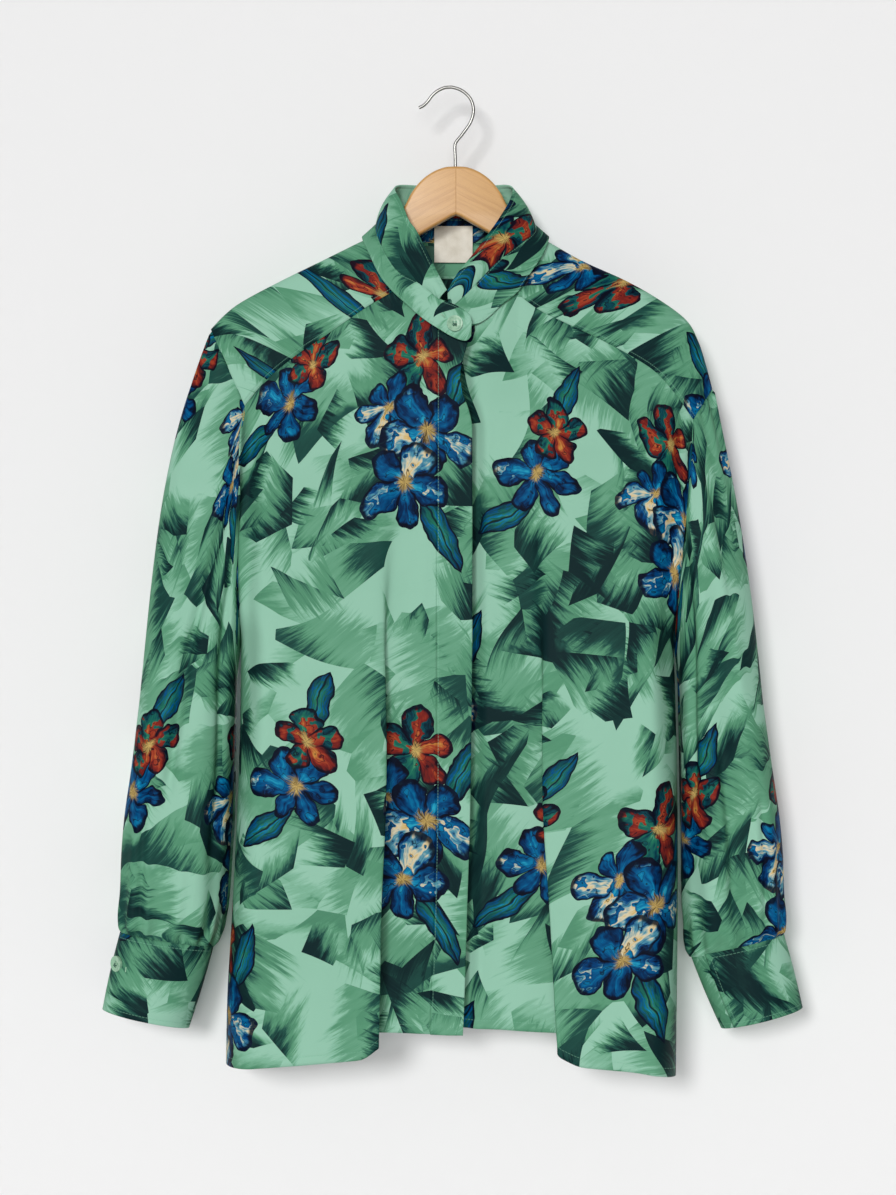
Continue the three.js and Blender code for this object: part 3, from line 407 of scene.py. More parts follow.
def points(x, y, z):
    x, y, z = np.broadcast_arrays(np.asarray(x, float), np.asarray(y, float), np.asarray(z, float))
    return np.stack([x, y, z], -1)


def lengthOf(vectors):
    return np.linalg.norm(vectors, axis=-1)


def netOf(columns, rowCount, first=0, last=1, down=1):
    across, along = np.linspace(first, last, columns), np.linspace(0, down, rowCount)
    return np.broadcast_arrays(across[None, :], along[:, None])


class Line:
    def __init__(self, knots):
        self.knots = np.array(knots, float)
        fine = self.at(np.linspace(0, 1, 201))
        self.lengths = np.concatenate([[0], np.cumsum(lengthOf(np.diff(fine, axis=0)))])

    def at(self, t):
        k = self.knots
        ends = np.vstack([2 * k[0] - k[1], k, 2 * k[-1] - k[-2]])
        p = np.clip(np.asarray(t, float), 0, 1) * (len(k) - 1)
        i = np.clip(np.floor(p).astype(int), 0, len(k) - 2)
        w = (p - i)[..., None]
        p0, p1, p2, p3 = ends[i], ends[i + 1], ends[i + 2], ends[i + 3]
        t0, t1 = 0.5 * (p2 - p0), 0.5 * (p3 - p1)
        return (2 * p1 - 2 * p2 + t0 + t1) * w ** 3 + (-3 * p1 + 3 * p2 - 2 * t0 - t1) * w ** 2 + t0 * w + p1

    def along(self, u):
        share = np.asarray(u, float) * self.lengths[-1]
        return self.at(np.interp(share, self.lengths, np.linspace(0, 1, 201)))


def seamLine(table, sign):
    return Line([(sign * row["out"], -row.get("depth", 0), -row["drop"]) for row in table])


def ringLine(table):
    return Line([(x, y, -drop) for x, drop, y in table])


underarmDrop = 486
armRows, skirtRows = 7, 8
underarmShare = armRows / (armRows + skirtRows)
neckShare = 0.3
foldWidth = 14
levelNames = "drop edge side sideDepth centre panel fold lap step"
leftFront = {
    "sign": 1,
    "levels": rows(levelNames,
        (200, -18, 207.7, 20, 29, 25, 66, 0, 0), (291, -18, 207.7, 20, 31, 29, 67, 0, 0),
        (312, -18, 206.6, 26, 31.5, 31, 68, 0, 1), (363, -18, 201.5, 33, 32, 37, 69, 1, 3),
        (415, -18, 196.2, 33, 32, 41, 71, 3, 5), (459, -18, 192.7, 21, 32, 42, 73, 5, 7),
        (486, -18, 191.6, 0, 32, 42, 74, 7, 9), (539, -18, 193, 0, 32, 42, 75, 11, 12),
        (627, -18.5, 193.6, 0, 31, 41, 80, 17, 16), (715, -20, 193.4, 0, 30, 39, 90, 22, 20),
        (803, -24, 193, 0, 29, 37, 98, 25, 23), (869, -26, 192.5, 0, 29, 36, 103, 26, 24)),
    "hem": rows("out drop", (-30, 822), (30, 823.5), (60, 825), (89, 827), (117, 845), (126, 852), (160, 857),
                (170, 859), (182, 863), (193, 867)),
    "neck": rows("out drop depth", (-18, 221, 29.5), (0, 219, 29.5), (12.3, 215.6, 29.5), (27.7, 205, 29),
                 (41, 192, 26.5), (54.2, 181.5, 23)),
    "yoke": rows("out drop depth", (54.2, 181.5, 23), (73.9, 196, 22), (100.3, 208.6, 20), (126.7, 221, 19),
                 (153.1, 235, 18), (175.1, 249.5, 18), (192.5, 269, 19), (207.7, 291, 20)),
    "ridge": rows("out drop", (80.7, 134.4), (111, 151.4), (149.6, 169), (180.4, 186.6), (203, 204),
                  (213, 222), (219.5, 242), (225.3, 264)),
}
rightFront = {
    "sign": -1,
    "levels": rows(levelNames,
        (200, 16.5, 185, 20, 33, 27, 54, 0, 0), (279, 16.5, 185, 20, 35, 30, 55, 0, 0),
        (303, 16.5, 188, 26, 36, 32, 56, 0, 1), (363, 16.5, 189.5, 33, 37, 38, 57, 1, 3),
        (415, 16.5, 190, 33, 37, 42, 59, 4, 6), (459, 16.5, 189.6, 21, 37, 43, 61, 7, 8),
        (486, 16.5, 189.2, 0, 37, 43, 62, 9, 10), (539, 16.5, 189.6, 0, 37, 43, 63, 13, 13),
        (627, 17, 192, 0, 36, 42, 67, 18, 17), (715, 18.5, 195.4, 0, 35, 40, 74, 22, 20),
        (803, 21.5, 199.6, 0, 34, 38, 78, 25, 22), (869, 23.5, 200.6, 0, 34, 37, 80, 26, 23)),
    "hem": rows("out drop", (0, 828), (30, 826.5), (66, 825), (94, 836.5), (103, 846), (128, 849.5),
                (160, 852), (176, 853), (201, 855.5)),
    "neck": rows("out drop depth", (-10.5, 225.5, 34), (4.8, 220.9, 34), (16.5, 214.4, 33.5), (27, 207.5, 32),
                 (42, 195, 28), (57.2, 180.4, 23)),
    "yoke": rows("out drop depth", (57.2, 180.4, 23), (78.3, 192.7, 22), (100.8, 208, 20), (116, 218.5, 19),
                 (133.8, 230, 18), (154.9, 246, 18), (170.7, 261, 19), (185, 279, 20)),
    "ridge": rows("out drop", (82, 133.8), (118, 151.4), (154, 169), (187, 186.6), (202, 197.6),
                  (215.6, 211.5)),
}


class Front:
    def __init__(self, s):
        self.sign = s["sign"]
        self.value = {name: column(s["levels"], "drop", name) for name in levelNames.split()[1:]}
        self.hem = column(s["hem"], "out", "drop")
        self.neck, self.yoke = seamLine(s["neck"], 1), seamLine(s["yoke"], 1)
        self.yokeSeam, self.ridge = (seamLine(s[key], self.sign) for key in ("yoke", "ridge"))
        self.yokeEnd = self.yokeSeam.at(1.0)
        self.ridgeStart, self.ridgeEnd = self.ridge.at(0.0), self.ridge.at(1.0)
        last = s["yoke"][-1]
        self.corner = (last["out"], last["drop"], last["depth"])
        begin = next(i for i, row in enumerate(s["neck"]) if row["out"] >= s["levels"][0]["edge"] - 0.01)
        self.neckFrom = begin / (len(s["neck"]) - 1)
        self.lowest = s["levels"][-1]["drop"]

    # the level's values, the reach of its turn into the side and the share of its width before that turn
    def level(self, drop):
        v = {name: f(drop) for name, f in self.value.items()}
        reach = 8 + 0.45 * (v["panel"] - v["sideDepth"])
        turn = 1.4 * (v["panel"] + v["step"] - v["sideDepth"]) + 12
        flat = v["side"] - v["edge"] - reach
        return v, reach, flat / (flat + turn)

    def section(self, s, drop):
        v, reach, share = self.level(drop)
        flatEnd = v["side"] - reach
        out = v["edge"] + (flatEnd - v["edge"]) * np.minimum(1, s / share)
        across = (out - v["fold"]) / foldWidth
        swing = across * np.exp((1 - across * across) / 2)
        forward = v["step"] * (0.5 + 0.5 * np.tanh(1.5 * across))
        depth = mix(v["centre"], v["panel"], smooth(22, 110, out)) + forward
        angle = np.clip((s - share) / (1 - share), 0, 1) * math.pi / 2
        turned = v["sideDepth"] + (depth - v["sideDepth"]) * np.cos(angle)
        lapped = v["lap"] * swing
        x = np.where(s <= share, out - lapped, flatEnd + reach * np.sin(angle) - lapped * np.cos(angle))
        return x, np.where(s <= share, depth, turned)

    def top(self, s):
        onYoke = self.yoke.along(np.clip((s - neckShare) / (1 - neckShare), 0, 1))
        onNeck = self.neck.at(mix(self.neckFrom, 1, np.clip(s / neckShare, 0, 1)))
        return np.where((s >= neckShare)[..., None], onYoke, onNeck)

    def surface(self, s, drop):
        start = self.top(s)
        beganX, beganY = self.section(s, -start[..., 2])
        x, y = self.section(s, drop)
        w = 1 - smooth(0, 150, drop + start[..., 2])
        x, y = x + (start[..., 0] - beganX) * w, y + (-start[..., 1] - beganY) * w
        return points(self.sign * x, -y, -drop)

    def drops(self, s, row):
        start = -self.top(s)[..., 2]
        v, reach, share = self.level(self.lowest)
        flatEnd = v["side"] - reach
        flatOut = np.where(s <= share, mix(v["edge"], flatEnd, s / share),
                           mix(flatEnd, v["side"], (s - share) / (1 - share)))
        below = mix(underarmDrop, self.hem(flatOut), (row - armRows) / skirtRows)
        return np.where(row <= armRows, mix(start, underarmDrop, row / armRows), below)


left, right = Front(leftFront), Front(rightFront)


# Soft unevenness that real cloth has: a few crossed waves, the same each run
def ripple(a, b, seed=0.0):
    return (np.sin(a * 1.0 + b * 0.31 + seed) * 0.5 + np.sin(a * 2.3 - b * 0.57 + seed * 2.1) * 0.28
            + np.sin(a * 0.53 + b * 1.13 + seed * 0.7) * 0.32 + np.sin(a * 4.1 + b * 0.9 + seed * 1.3) * 0.12)


def gridNormals(grid, closed=False):
    if closed:
        ring = grid[:, :-1]
        across = np.roll(ring, -1, 1) - np.roll(ring, 1, 1)
        across = np.concatenate([across, across[:, :1]], 1)
    else:
        across = np.gradient(grid, axis=1)
    n = np.cross(across, np.gradient(grid, axis=0))
    return n / np.maximum(lengthOf(n)[..., None], 1e-9)


# Lengths along the cloth, across each row and down each column, from which its UVs are made
def flatLengths(grid, columnAt=0, rowAt=0):
    across, down = lengthOf(np.diff(grid, axis=1)), lengthOf(np.diff(grid, axis=0))
    u = np.concatenate([np.zeros((grid.shape[0], 1)), np.cumsum(across, 1)], 1)
    v = -np.concatenate([np.zeros((1, grid.shape[1])), np.cumsum(down, 0)], 0)
    return u - u[:, columnAt:columnAt + 1], v - v[rowAt:rowAt + 1, :]


def gridArea(grid):
    a, b, c, d = grid[:-1, :-1], grid[:-1, 1:], grid[1:, 1:], grid[1:, :-1]
    return float(lengthOf(np.cross(c - a, d - b)).sum() / 2) * 1e-6


def roundLength(grid):
    return lengthOf(np.diff(grid, axis=1)).sum(1).mean()


sheets = []
hemStitch = 7.5


def clothPiece(name, grid, outward, place, wall=0.7, closed=False, seam=None, material=None, node="",
               columnAt=0, rowAt=0, held="hung", margin=(24, 24)):
    high, count = grid.shape[0], grid.shape[1] - closed
    u, v = flatLengths(grid, columnAt, rowAt)
    cutU = u * mm * place.get("flip", 1) + place["u"]
    cutV = v * mm + place["v"]
    turn = math.radians(place.get("turn", 0))
    cut = np.stack([cutU * math.cos(turn) - cutV * math.sin(turn),
                    cutU * math.sin(turn) + cutV * math.cos(turn)], -1)
    seam = np.full((*grid.shape[:2], 2), 1.0) if seam is None else np.stack(seam, -1) * mm
    verts = (grid[:, :count] * mm + np.array([centreX * mm, 0, 0])).reshape(-1, 3)
    faces, corners = [], []
    for i in range(high - 1):
        for j in range(grid.shape[1] - 1):
            quad = [(i, j), (i, j + 1), (i + 1, j + 1), (i + 1, j)]
            if outward < 0:
                quad.reverse()
            faces.append([a * count + b % count for a, b in quad])
            corners.extend(quad)
    mesh = bpy.data.meshes.new(name)
    mesh.from_pydata(verts.tolist(), [], faces)
    picks = np.array(corners)
    for layerName, values in (("cut", cut), ("seam", seam)):
        layer = mesh.uv_layers.new(name=layerName)
        layer.data.foreach_set("uv", values[picks[:, 0], picks[:, 1]].astype(np.float32).ravel())
    mesh.materials.append(material or silkTwill)
    obj = bpy.data.objects.new(name, mesh)
    scene.collection.objects.link(obj)
    thick = obj.modifiers.new("wall", "SOLIDIFY")
    thick.thickness = wall * mm
    thick.offset = -1
    thick.use_even_offset = False
    choose(obj)
    bpy.ops.object.modifier_apply(modifier="wall")
    bpy.ops.object.shade_smooth()
    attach(obj, "root")
    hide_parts(node)
    area = gridArea(grid)
    # a sleeve's first rows slant along the armhole, so the median row gives the cut's width
    wide = float(np.median(np.ptp(u, axis=1)) if held == "gathered" else u.max() - u.min()) + margin[0]
    long = float(v.max() - v.min()) + margin[1]
    sheets.append((name, wide, long, area))
    return obj


# Front panels, and the placket strip that covers the buttons, its free edge gaping below the collar
placket = {
    "columns": 26, "rows": 220, "top": (214.6, 225.4), "wall": 1.2, "stitchIn": 1.4, "hem": (16, -12),
    "gape": (262, 34),  # where the free edge gapes most, and over what height
    "edge": rows("drop out", (200, -11), (226, -10), (236, -7), (254, -3.4), (267, -4.8), (287, -11.5),
                 (301, -14), (451, -14.1), (627, -12.3), (715, -9.7), (803, -7), (835, -5.6)),
}
frontLook = {
    "columns": 128, "rows": 190, "wave": 1.6, "allowance": 3.6,
    "left": {"u": 0.35, "v": 0.09}, "right": {"u": 0.10, "v": 0.02, "flip": -1},
    # the soft valley beside the armhole: in from the side, half width, depth, ends
    "valley": {"in": 9, "half": 9, "deep": 11, "from": (265, 320), "to": (500, 640)},
}


placketEdge = column(placket["edge"], "drop", "out")


def gaping(drop):
    middle, high = placket["gape"]
    return np.exp(-((drop - middle) / high) ** 2)


def frontGrid(side):
    s, row = netOf(frontLook["columns"], frontLook["rows"], down=armRows + skirtRows)
    drop = side.drops(s, row)
    grid = side.surface(s, drop)
    normal = gridNormals(grid) * -side.sign
    start = -side.top(s)[..., 2]
    free = smooth(0, 60, drop - start) * smooth(0, 0.06, s) * smooth(0, 0.05, 1 - s)
    low = smooth(330, 860, drop)
    x = grid[..., 0]
    lift = ripple(x / 34, drop / 210, 1.0 + side.sign) * frontLook["wave"] * (0.25 + 0.75 * low)
    lift = lift + ripple(x / 15 + drop / 90, drop / 120, 4.0) * 0.45
    grid = grid + normal * (lift * free)[..., None]
    v = frontLook["valley"]
    fromSide = (side.value["side"](drop) - np.abs(x) - v["in"]) / v["half"]
    valley = np.exp(-fromSide * fromSide) * smooth(*v["from"], drop) * (1 - smooth(*v["to"], drop))
    grid[..., 1] += valley * v["deep"] * smooth(0, 0.03, 1 - s)
    if side is left:
        # behind the placket's edge the under front lies back, most where the placket gapes
        fromEdge = x + placketEdge(drop)
        grid[..., 1] += (1 - smooth(0, 14, fromEdge)) * (8.5 + 4 * gaping(drop)) * smooth(0, 20, drop - start)
    # the top edge runs on under the yoke and the collar
    grid[0, :, 2] += frontLook["allowance"]
    grid[0, :, 1] += np.where(s[0] > neckShare, 1.5, 0.3)
    return grid, s, drop


def underarmRow(grid):
    return round((len(grid) - 1) * underarmShare)


for name, node, side in (("frontLeft", "front_left", left), ("frontRight", "front_right", right)):
    grid, s, drop = frontGrid(side)
    hemDrop = side.drops(s, np.full_like(s, armRows + skirtRows))
    seam = (hemDrop - drop - hemStitch, grid[..., 0])
    place = frontLook["left" if side is left else "right"]
    clothPiece(name, grid, -side.sign, place, seam=seam, node=node, rowAt=underarmRow(grid))
print("fronts hung")


# the print runs on from the right front, whose edge is the grid's first column
v = flatLengths(grid, 0, underarmRow(grid))[1]
fromRight = np.interp(placket["top"][0], -grid[:, 0, 2], v[:, 0]) * mm
runOn = {"u": place["u"], "v": place["v"] + fromRight, "flip": -place["flip"]}
t, share = netOf(placket["columns"], placket["rows"])
drop = mix(mix(*placket["top"], t), right.hem(mix(*placket["hem"], t)), share)
x = mix(-right.value["edge"](drop) - 0.3, -placketEdge(drop), t)
y = -right.value["centre"](drop) - 0.35 - gaping(drop) * t ** 2 * 3.2
y = y - ripple(drop / 60, t * 2.0, 2.0) * 0.5 * smooth(215, 260, drop)
grid = points(x, y, -drop)
nearSeam = np.minimum(np.abs(grid[..., 0] - grid[:, :1, 0]), 99)
seam = (np.where(t < 0.5, nearSeam - placket["stitchIn"], 5.0), -drop)
clothPiece("placketStrip", grid, -1, runOn, wall=placket["wall"], seam=seam, node="front_placket",
           margin=(36, 24))
print("placket sewn")

# Yoke: a band from one front seam over the crest, round the back and forward again
yoke = {
    "across": 90, "round": 46, "u": 0.62, "v": 0.3, "turn": 12, "lap": 1.2, "allowance": 1.6,
    "centre": (236, 27),  # the seam's drop and depth at the middle of the back
    # the neck's half width, its drop at the side and behind, its depth there
    "neckOut": 70, "neckDrop": (131.5, 134.6), "neckDepth": (15, 30), "power": 0.35,
}


def backSeam(side, u):
    cornerX, cornerDrop, cornerDepth = side.corner
    return points(side.sign * cornerX * u, mix(yoke["centre"][1], cornerDepth, u ** 3),
                  -mix(yoke["centre"][0], cornerDrop, np.abs(u) ** 1.7))


def yokeHalf(side):
    sign = side.sign
    w = np.linspace(0.0, 1.0, yoke["across"])[None, :]
    cornerX, cornerDrop, cornerDepth = side.corner
    low, crest = side.yokeSeam.along(w), side.ridge.along(w)
    q = np.linspace(0, 1, yoke["round"])[:, None]
    share = 1 - (1 - q) ** (1 / yoke["power"])
    front = low + (crest - low) * share[..., None]
    front[..., 1] = low[..., 1] * (1 - q)
    q = q[1:]
    share = q ** (1 / yoke["power"])
    start, end = side.ridgeStart, side.ridgeEnd
    sideDepth, sideDrop = yoke["neckDepth"][0], yoke["neckDrop"][0]
    neck = points(sign * mix(abs(start[0]), yoke["neckOut"], share), sideDepth * q,
                  -mix(-start[2], sideDrop, share))
    arm = points(sign * mix(abs(end[0]), cornerX, share), cornerDepth * q, -mix(-end[2], cornerDrop, share))
    line = neck + (arm - neck) * w[..., None]
    crestLine = start + (end - start) * w[..., None]
    over = line + (crest - crestLine) * ((1 - share) ** 1.5)[..., None]
    share = np.linspace(0, 1, yoke["round"] + 10)[1:, None]
    neck = points(sign * yoke["neckOut"] * (1 - share), mix(*yoke["neckDepth"], np.sin(share * math.pi / 2)),
                  -mix(*yoke["neckDrop"], share))
    behind = neck + (backSeam(side, 1 - share) - neck) * w[..., None]
    return np.concatenate([front, over, behind])


halves = [yokeHalf(left), yokeHalf(right)]
grid = np.concatenate([halves[0], halves[1][::-1][1:]])
halfRows = len(halves[0])
normal = gridNormals(grid)
across = np.linspace(0, 1, yoke["across"])[None, :]
aroundYoke = np.abs(np.linspace(-1, 1, grid.shape[0]))[:, None]
frontness = smooth(0.62, 1.0, aroundYoke)
edge = smooth(0, 0.05, across) * smooth(0, 0.04, 1 - across) * smooth(0, 0.02, 1 - aroundYoke)
lift = ripple(grid[..., 0] / 30, grid[..., 2] / 24, 5.0) * 0.55 * edge * frontness
# the seam's folded edge stands a little proud of the fronts, and the neck's edge runs on under the collar
for end, way in ((0, 1), (-1, -1)):
    step = grid[end] - grid[end + way]
    grid[end] += step / lengthOf(step)[..., None] * yoke["lap"]
neckStep = grid[:, 0] - grid[:, 1]
grid[:, 0] += neckStep / lengthOf(neckStep)[..., None] * yoke["allowance"]
seamRise = np.exp(-((1 - aroundYoke) / 0.012) ** 2) * 0.5
pucker = np.exp(-((1 - aroundYoke) / 0.03) ** 2) * 0.22 * np.sin(across * 95)
grid = grid + normal * (lift + seamRise + pucker * edge)[..., None]
fromSeam = np.minimum(lengthOf(grid - grid[:1]), lengthOf(grid - grid[-1:]))
seam = (fromSeam - 3.0, across * 260 + aroundYoke * 0)
clothPiece("shoulderYoke", grid, 1, yoke, seam=seam, node="yoke", rowAt=halfRows - 1)
print("yoke laid over the hanger")

# Back panel
back = {
    "columns": 150, "rows": 150, "flat": 0.86, "u": 1.1, "v": 0.2,
    "levels": rows("drop depth wave", (220, 26, 0), (300, 28, 1), (415, 31, 2.5), (539, 34, 4), (700, 37, 6),
                   (869, 40, 8)),
    "hem": rows("out drop", (-201, 855.5), (-150, 848), (-80, 833), (0, 827), (80, 833), (150, 854),
                (193, 867)),
    "corner": 26,  # the panel's turn into the side seam
}
backDepth, backWave = column(back["levels"], "drop", "depth"), column(back["levels"], "drop", "wave")
backHem = column(back["hem"], "out", "drop")


def backHalf(side, t, row):
    u = np.abs(t)
    start = backSeam(side, u)
    end = backHem(side.sign * u * side.value["side"](side.lowest))
    top = -start[..., 2]
    drop = np.where(row <= armRows, mix(top, underarmDrop, row / armRows),
                    mix(underarmDrop, end, (row - armRows) / skirtRows))

    def section(d):
        reach = side.value["side"](d)
        seam = np.where(d >= underarmDrop, 0.0, side.value["sideDepth"](d))
        depth = backDepth(d) + backWave(d) * np.sin(5.5 * t + 0.6)
        flat, corner = back["flat"], back["corner"]
        angle = np.clip((u - flat) / (1 - flat), 0, 1) * math.pi / 2
        x = np.where(u <= flat, (reach - corner) * u / flat, reach - corner + corner * np.sin(angle))
        return x, np.where(u <= flat, depth, seam + (depth - seam) * np.cos(angle))
    beganX, beganY = section(top)
    x, y = section(drop)
    w = 1 - smooth(0, 140, drop - top)
    x, y = x + (np.abs(start[..., 0]) - beganX) * w, y + (start[..., 1] - beganY) * w
    return points(side.sign * x, y, -drop)


t, row = netOf(back["columns"], back["rows"], -1, 1, armRows + skirtRows)
grid = np.where((t < 0)[..., None], backHalf(right, t, row), backHalf(left, t, row))
normal = gridNormals(grid)
free = smooth(0, 0.7, row) * smooth(0, 0.03, 1 - np.abs(t))
lift = ripple(grid[..., 0] / 26, grid[..., 2] / 160, 8.0) * 1.3 * free
grid = grid + normal * lift[..., None]
seam = (grid[..., 2] - grid[-1:, :, 2] - hemStitch, grid[..., 0])
clothPiece("backPanel", grid, 1, back, seam=seam, node="back", columnAt=back["columns"] // 2,
           rowAt=underarmRow(grid))
print("back hung")


# Sleeves: the loop runs from the underarm up the front, over the crest and down the back
armStops = (7, 11, 16, 23)  # the loop reaches the yoke's seam, the crest, the back seam and the underarm again


def armLoop(side, i):
    sign = side.sign
    cornerX, cornerDrop, cornerDepth = side.corner
    seamAt, crestAt, backAt, end = armStops
    one = np.ones_like(i)
    lowFront = side.surface(one, mix(underarmDrop, cornerDrop, np.clip(i / seamAt, 0, 1)))
    share = np.interp(i, range(seamAt, crestAt + 1), [0, 0.35, 0.7, 0.93, 1])
    front = side.yokeEnd + (side.ridgeEnd - side.yokeEnd) * share[..., None]
    front[..., 1] = side.yokeEnd[1] * (1 - share) ** yoke["power"]
    share = np.interp(i, range(crestAt, backAt + 1), [0, 0.035, 0.16, 0.4, 0.7, 1])
    over = points(sign * mix(abs(side.ridgeEnd[0]), cornerX, share), cornerDepth * share ** yoke["power"],
                  -mix(-side.ridgeEnd[2], cornerDrop, share))
    behind = backHalf(side, one * sign, np.clip((i - backAt) / (end - backAt), 0, 1) * armRows)
    pick = i[..., None]
    high = np.where(pick <= crestAt, front, np.where(pick <= backAt, over, behind))
    return np.where(pick <= seamAt, lowFront, high)


def oval(sign, angle, inner, outer, depth, lobes):
    swell = 1 + lobes * np.cos(5 * angle + 0.8)
    x = (inner + outer) / 2 - (outer - inner) / 2 * np.cos(angle)
    bowed = np.sign(np.sin(angle)) * np.abs(np.sin(angle)) ** 0.7
    return sign * x, -depth * bowed * swell


def cuffPoint(cuff, sign, angle, along, grow):
    share = (1 - np.cos(angle)) / 2

    def ring(inner, outer, depth):
        x, drop = (mix(inner[k], outer[k], share) for k in (0, 1))
        return points(sign * x, -depth * np.sin(angle), -drop)
    top, bottom = ring(*cuff["top"]), ring(*cuff["bottom"])
    p = top + (bottom - top) * np.asarray(along)[..., None]
    return p + points(-sign * np.cos(angle) * grow, -np.sin(angle) * grow, 0)


leftCuff = {"top": ((206, 762), (287, 742.5), 25), "bottom": ((233, 826), (303.6, 807.5), 27),
            "opening": 0.13, "way": 1, "overlap": 0.09}
rightCuff = {"top": ((214, 753.5), (293.5, 741), 25), "bottom": ((235.5, 825.5), (308.6, 809), 27),
             "opening": 0.48, "way": -1, "overlap": 0.09}
sleeveLook = {
    "columns": 168, "cap": 84, "arm": 96, "foot": 22, "gathers": 30, "capSlope": {1: 0.27, -1: 0.45},
    "left": {"u": 1.86, "v": 0.12, "turn": 6}, "right": {"u": 2.42, "v": 0.02, "flip": -1, "turn": -6},
    # long creases seen from the front, on each side: angle and half width in turns, drops and depth in mm
    "creases": {
        1: rows("at wide begin finish deep", (0.13, 0.02, 300, 640, -5.0), (0.3, 0.03, 320, 560, 3.0),
                (0.22, 0.018, 560, 748, -4.4), (0.37, 0.02, 600, 752, -3.6)),
        -1: rows("at wide begin finish deep", (0.26, 0.018, 262, 640, -5.6), (0.19, 0.03, 250, 560, 3.2),
                 (0.13, 0.02, 420, 700, -4.4), (0.36, 0.018, 600, 748, -3.4)),
    },
}
sleeveTables = {
    1: rows("drop inner outer depth", (539, 196.4, 268.8, 37), (592, 197.4, 276.4, 38), (645, 198, 284.4, 38),
            (680, 198.4, 287.6, 37), (715, 199.4, 288.6, 35), (738, 203, 287.6, 31)),
    -1: rows("drop inner outer depth", (539, 193.2, 278.4, 37), (592, 194.4, 284.6, 38),
             (645, 196.2, 292.2, 38), (680, 198.8, 295, 37), (715, 202, 296, 34), (735, 207.5, 295, 30)),
}


def sleeveShape(side, cuff, i, angle):
    sign, table = side.sign, sleeveTables[side.sign]
    value = {name: column(table, "drop", name) for name in ("inner", "outer", "depth")}
    loop = armLoop(side, i) - points(sign * 0.6, 0, -0.2)
    firstDrop, lastDrop = table[0]["drop"], table[-1]["drop"]

    def ring(drop):
        lobes = mix(0.05, 0.1, smooth(firstDrop, 700, drop))
        x, y = oval(sign, angle, value["inner"](drop), value["outer"](drop), value["depth"](drop), lobes)
        return points(x, y, -drop)
    k = np.linspace(0, 1, sleeveLook["cap"])[:, None, None]
    to = ring(np.full_like(i, firstDrop))
    far = lengthOf(to - loop)[..., None]
    outness = (1 - np.cos(angle)) / 2
    slope = mix(0.12, sleeveLook["capSlope"][sign], outness)
    startPull = points(sign * slope, -0.16 * np.sin(angle), -1) * far
    endPull = points(sign * 0.1 * outness, 0 * angle, -1 + 0 * angle) * far
    cap = (loop * ((1 + 2 * k) * (1 - k) ** 2) + startPull * (k * (1 - k) ** 2)
           + to * (k * k * (3 - 2 * k)) + endPull * (k * k * (k - 1)))
    arm = ring(np.linspace(firstDrop, lastDrop, sleeveLook["arm"])[1:, None])
    share = np.linspace(0, 1, sleeveLook["foot"])[1:, None, None]
    seamRing = cuffPoint(cuff, sign, angle, 0.0 * angle, 0.1) + points(0, 0, -1.2)
    gathered = arm[-1:] + (seamRing - arm[-1:]) * (share * share * (3 - 2 * share))
    return np.concatenate([cap, arm, gathered])


# Gathers, fine pleats that run out of the head seam and out of the cuff seam, then creases and unevenness
def sleeveRelief(grid, angle, sign):
    drop = -grid[..., 2]
    down, up = lengthOf(grid - grid[:1]), lengthOf(grid - grid[-1:])
    head = np.sin(angle / 2) ** 6
    phase = angle * sleeveLook["gathers"] / 2 + ripple(angle * 3, 0 * angle, sign) * 1.3
    lift = np.cos(phase) * head * np.exp(-down / 40) * smooth(0, 4, down) * 2.8
    cuffPhase = angle * 13 + ripple(angle * 4, 0 * angle, 3.0) * 1.2
    reach = 30 + 22 * np.sin(angle * 3.0 + 1.0) ** 2
    lift = lift + np.cos(cuffPhase) * np.exp(-up / reach) * smooth(-1, 7, up) * 2.3
    lift = lift + np.exp(-((up - 16) / 15) ** 2) * 2.2
    turn = angle / fullTurn
    for s in sleeveLook["creases"][sign]:
        across = (turn - s["at"] - 0.02 * np.sin(drop / 70 + s["at"] * 20)) / s["wide"]
        ends = smooth(s["begin"], s["begin"] + 50, drop) * smooth(-s["finish"], -s["finish"] + 50, -drop)
        lift = lift + s["deep"] * np.exp(-across * across) * ends
    return lift + ripple(angle * 2.6, drop / 70, 2.0 + sign) * 1.1 * smooth(0, 40, down) * smooth(0, 30, up)


def sleeveGrid(side, cuff):
    crestAt, end = armStops[1], armStops[3]
    i = np.linspace(0, end, sleeveLook["columns"])[None, :]
    angle = np.where(i <= crestAt, i / crestAt, 1 + (i - crestAt) / (end - crestAt)) * math.pi
    grid = sleeveShape(side, cuff, i, angle)
    normal = gridNormals(grid, True) * -side.sign
    grid = grid + normal * sleeveRelief(grid, angle, side.sign)[..., None]
    grid[:, -1] = grid[:, 0]
    return grid


crestColumn = round((sleeveLook["columns"] - 1) * armStops[1] / armStops[3])
for name, node, side, cuff in (("sleeveLeft", "sleeve_left", left, leftCuff),
                               ("sleeveRight", "sleeve_right", right, rightCuff)):
    grid = sleeveGrid(side, cuff)
    place = sleeveLook["left" if side is left else "right"]
    clothPiece(name, grid, -side.sign, place, closed=True, node=node, held="gathered", columnAt=crestColumn,
               rowAt=len(grid) - 1)
print("sleeves gathered")

# Cuffs: bands that lap at the opening
cuffLook = {"columns": 150, "rows": 40, "lap": 2.4, "wall": 1.2, "stitch": 4.0, "high": 66,
            "left": {"u": 2.9, "v": 0.4}, "right": {"u": 3.4, "v": 0.19}}


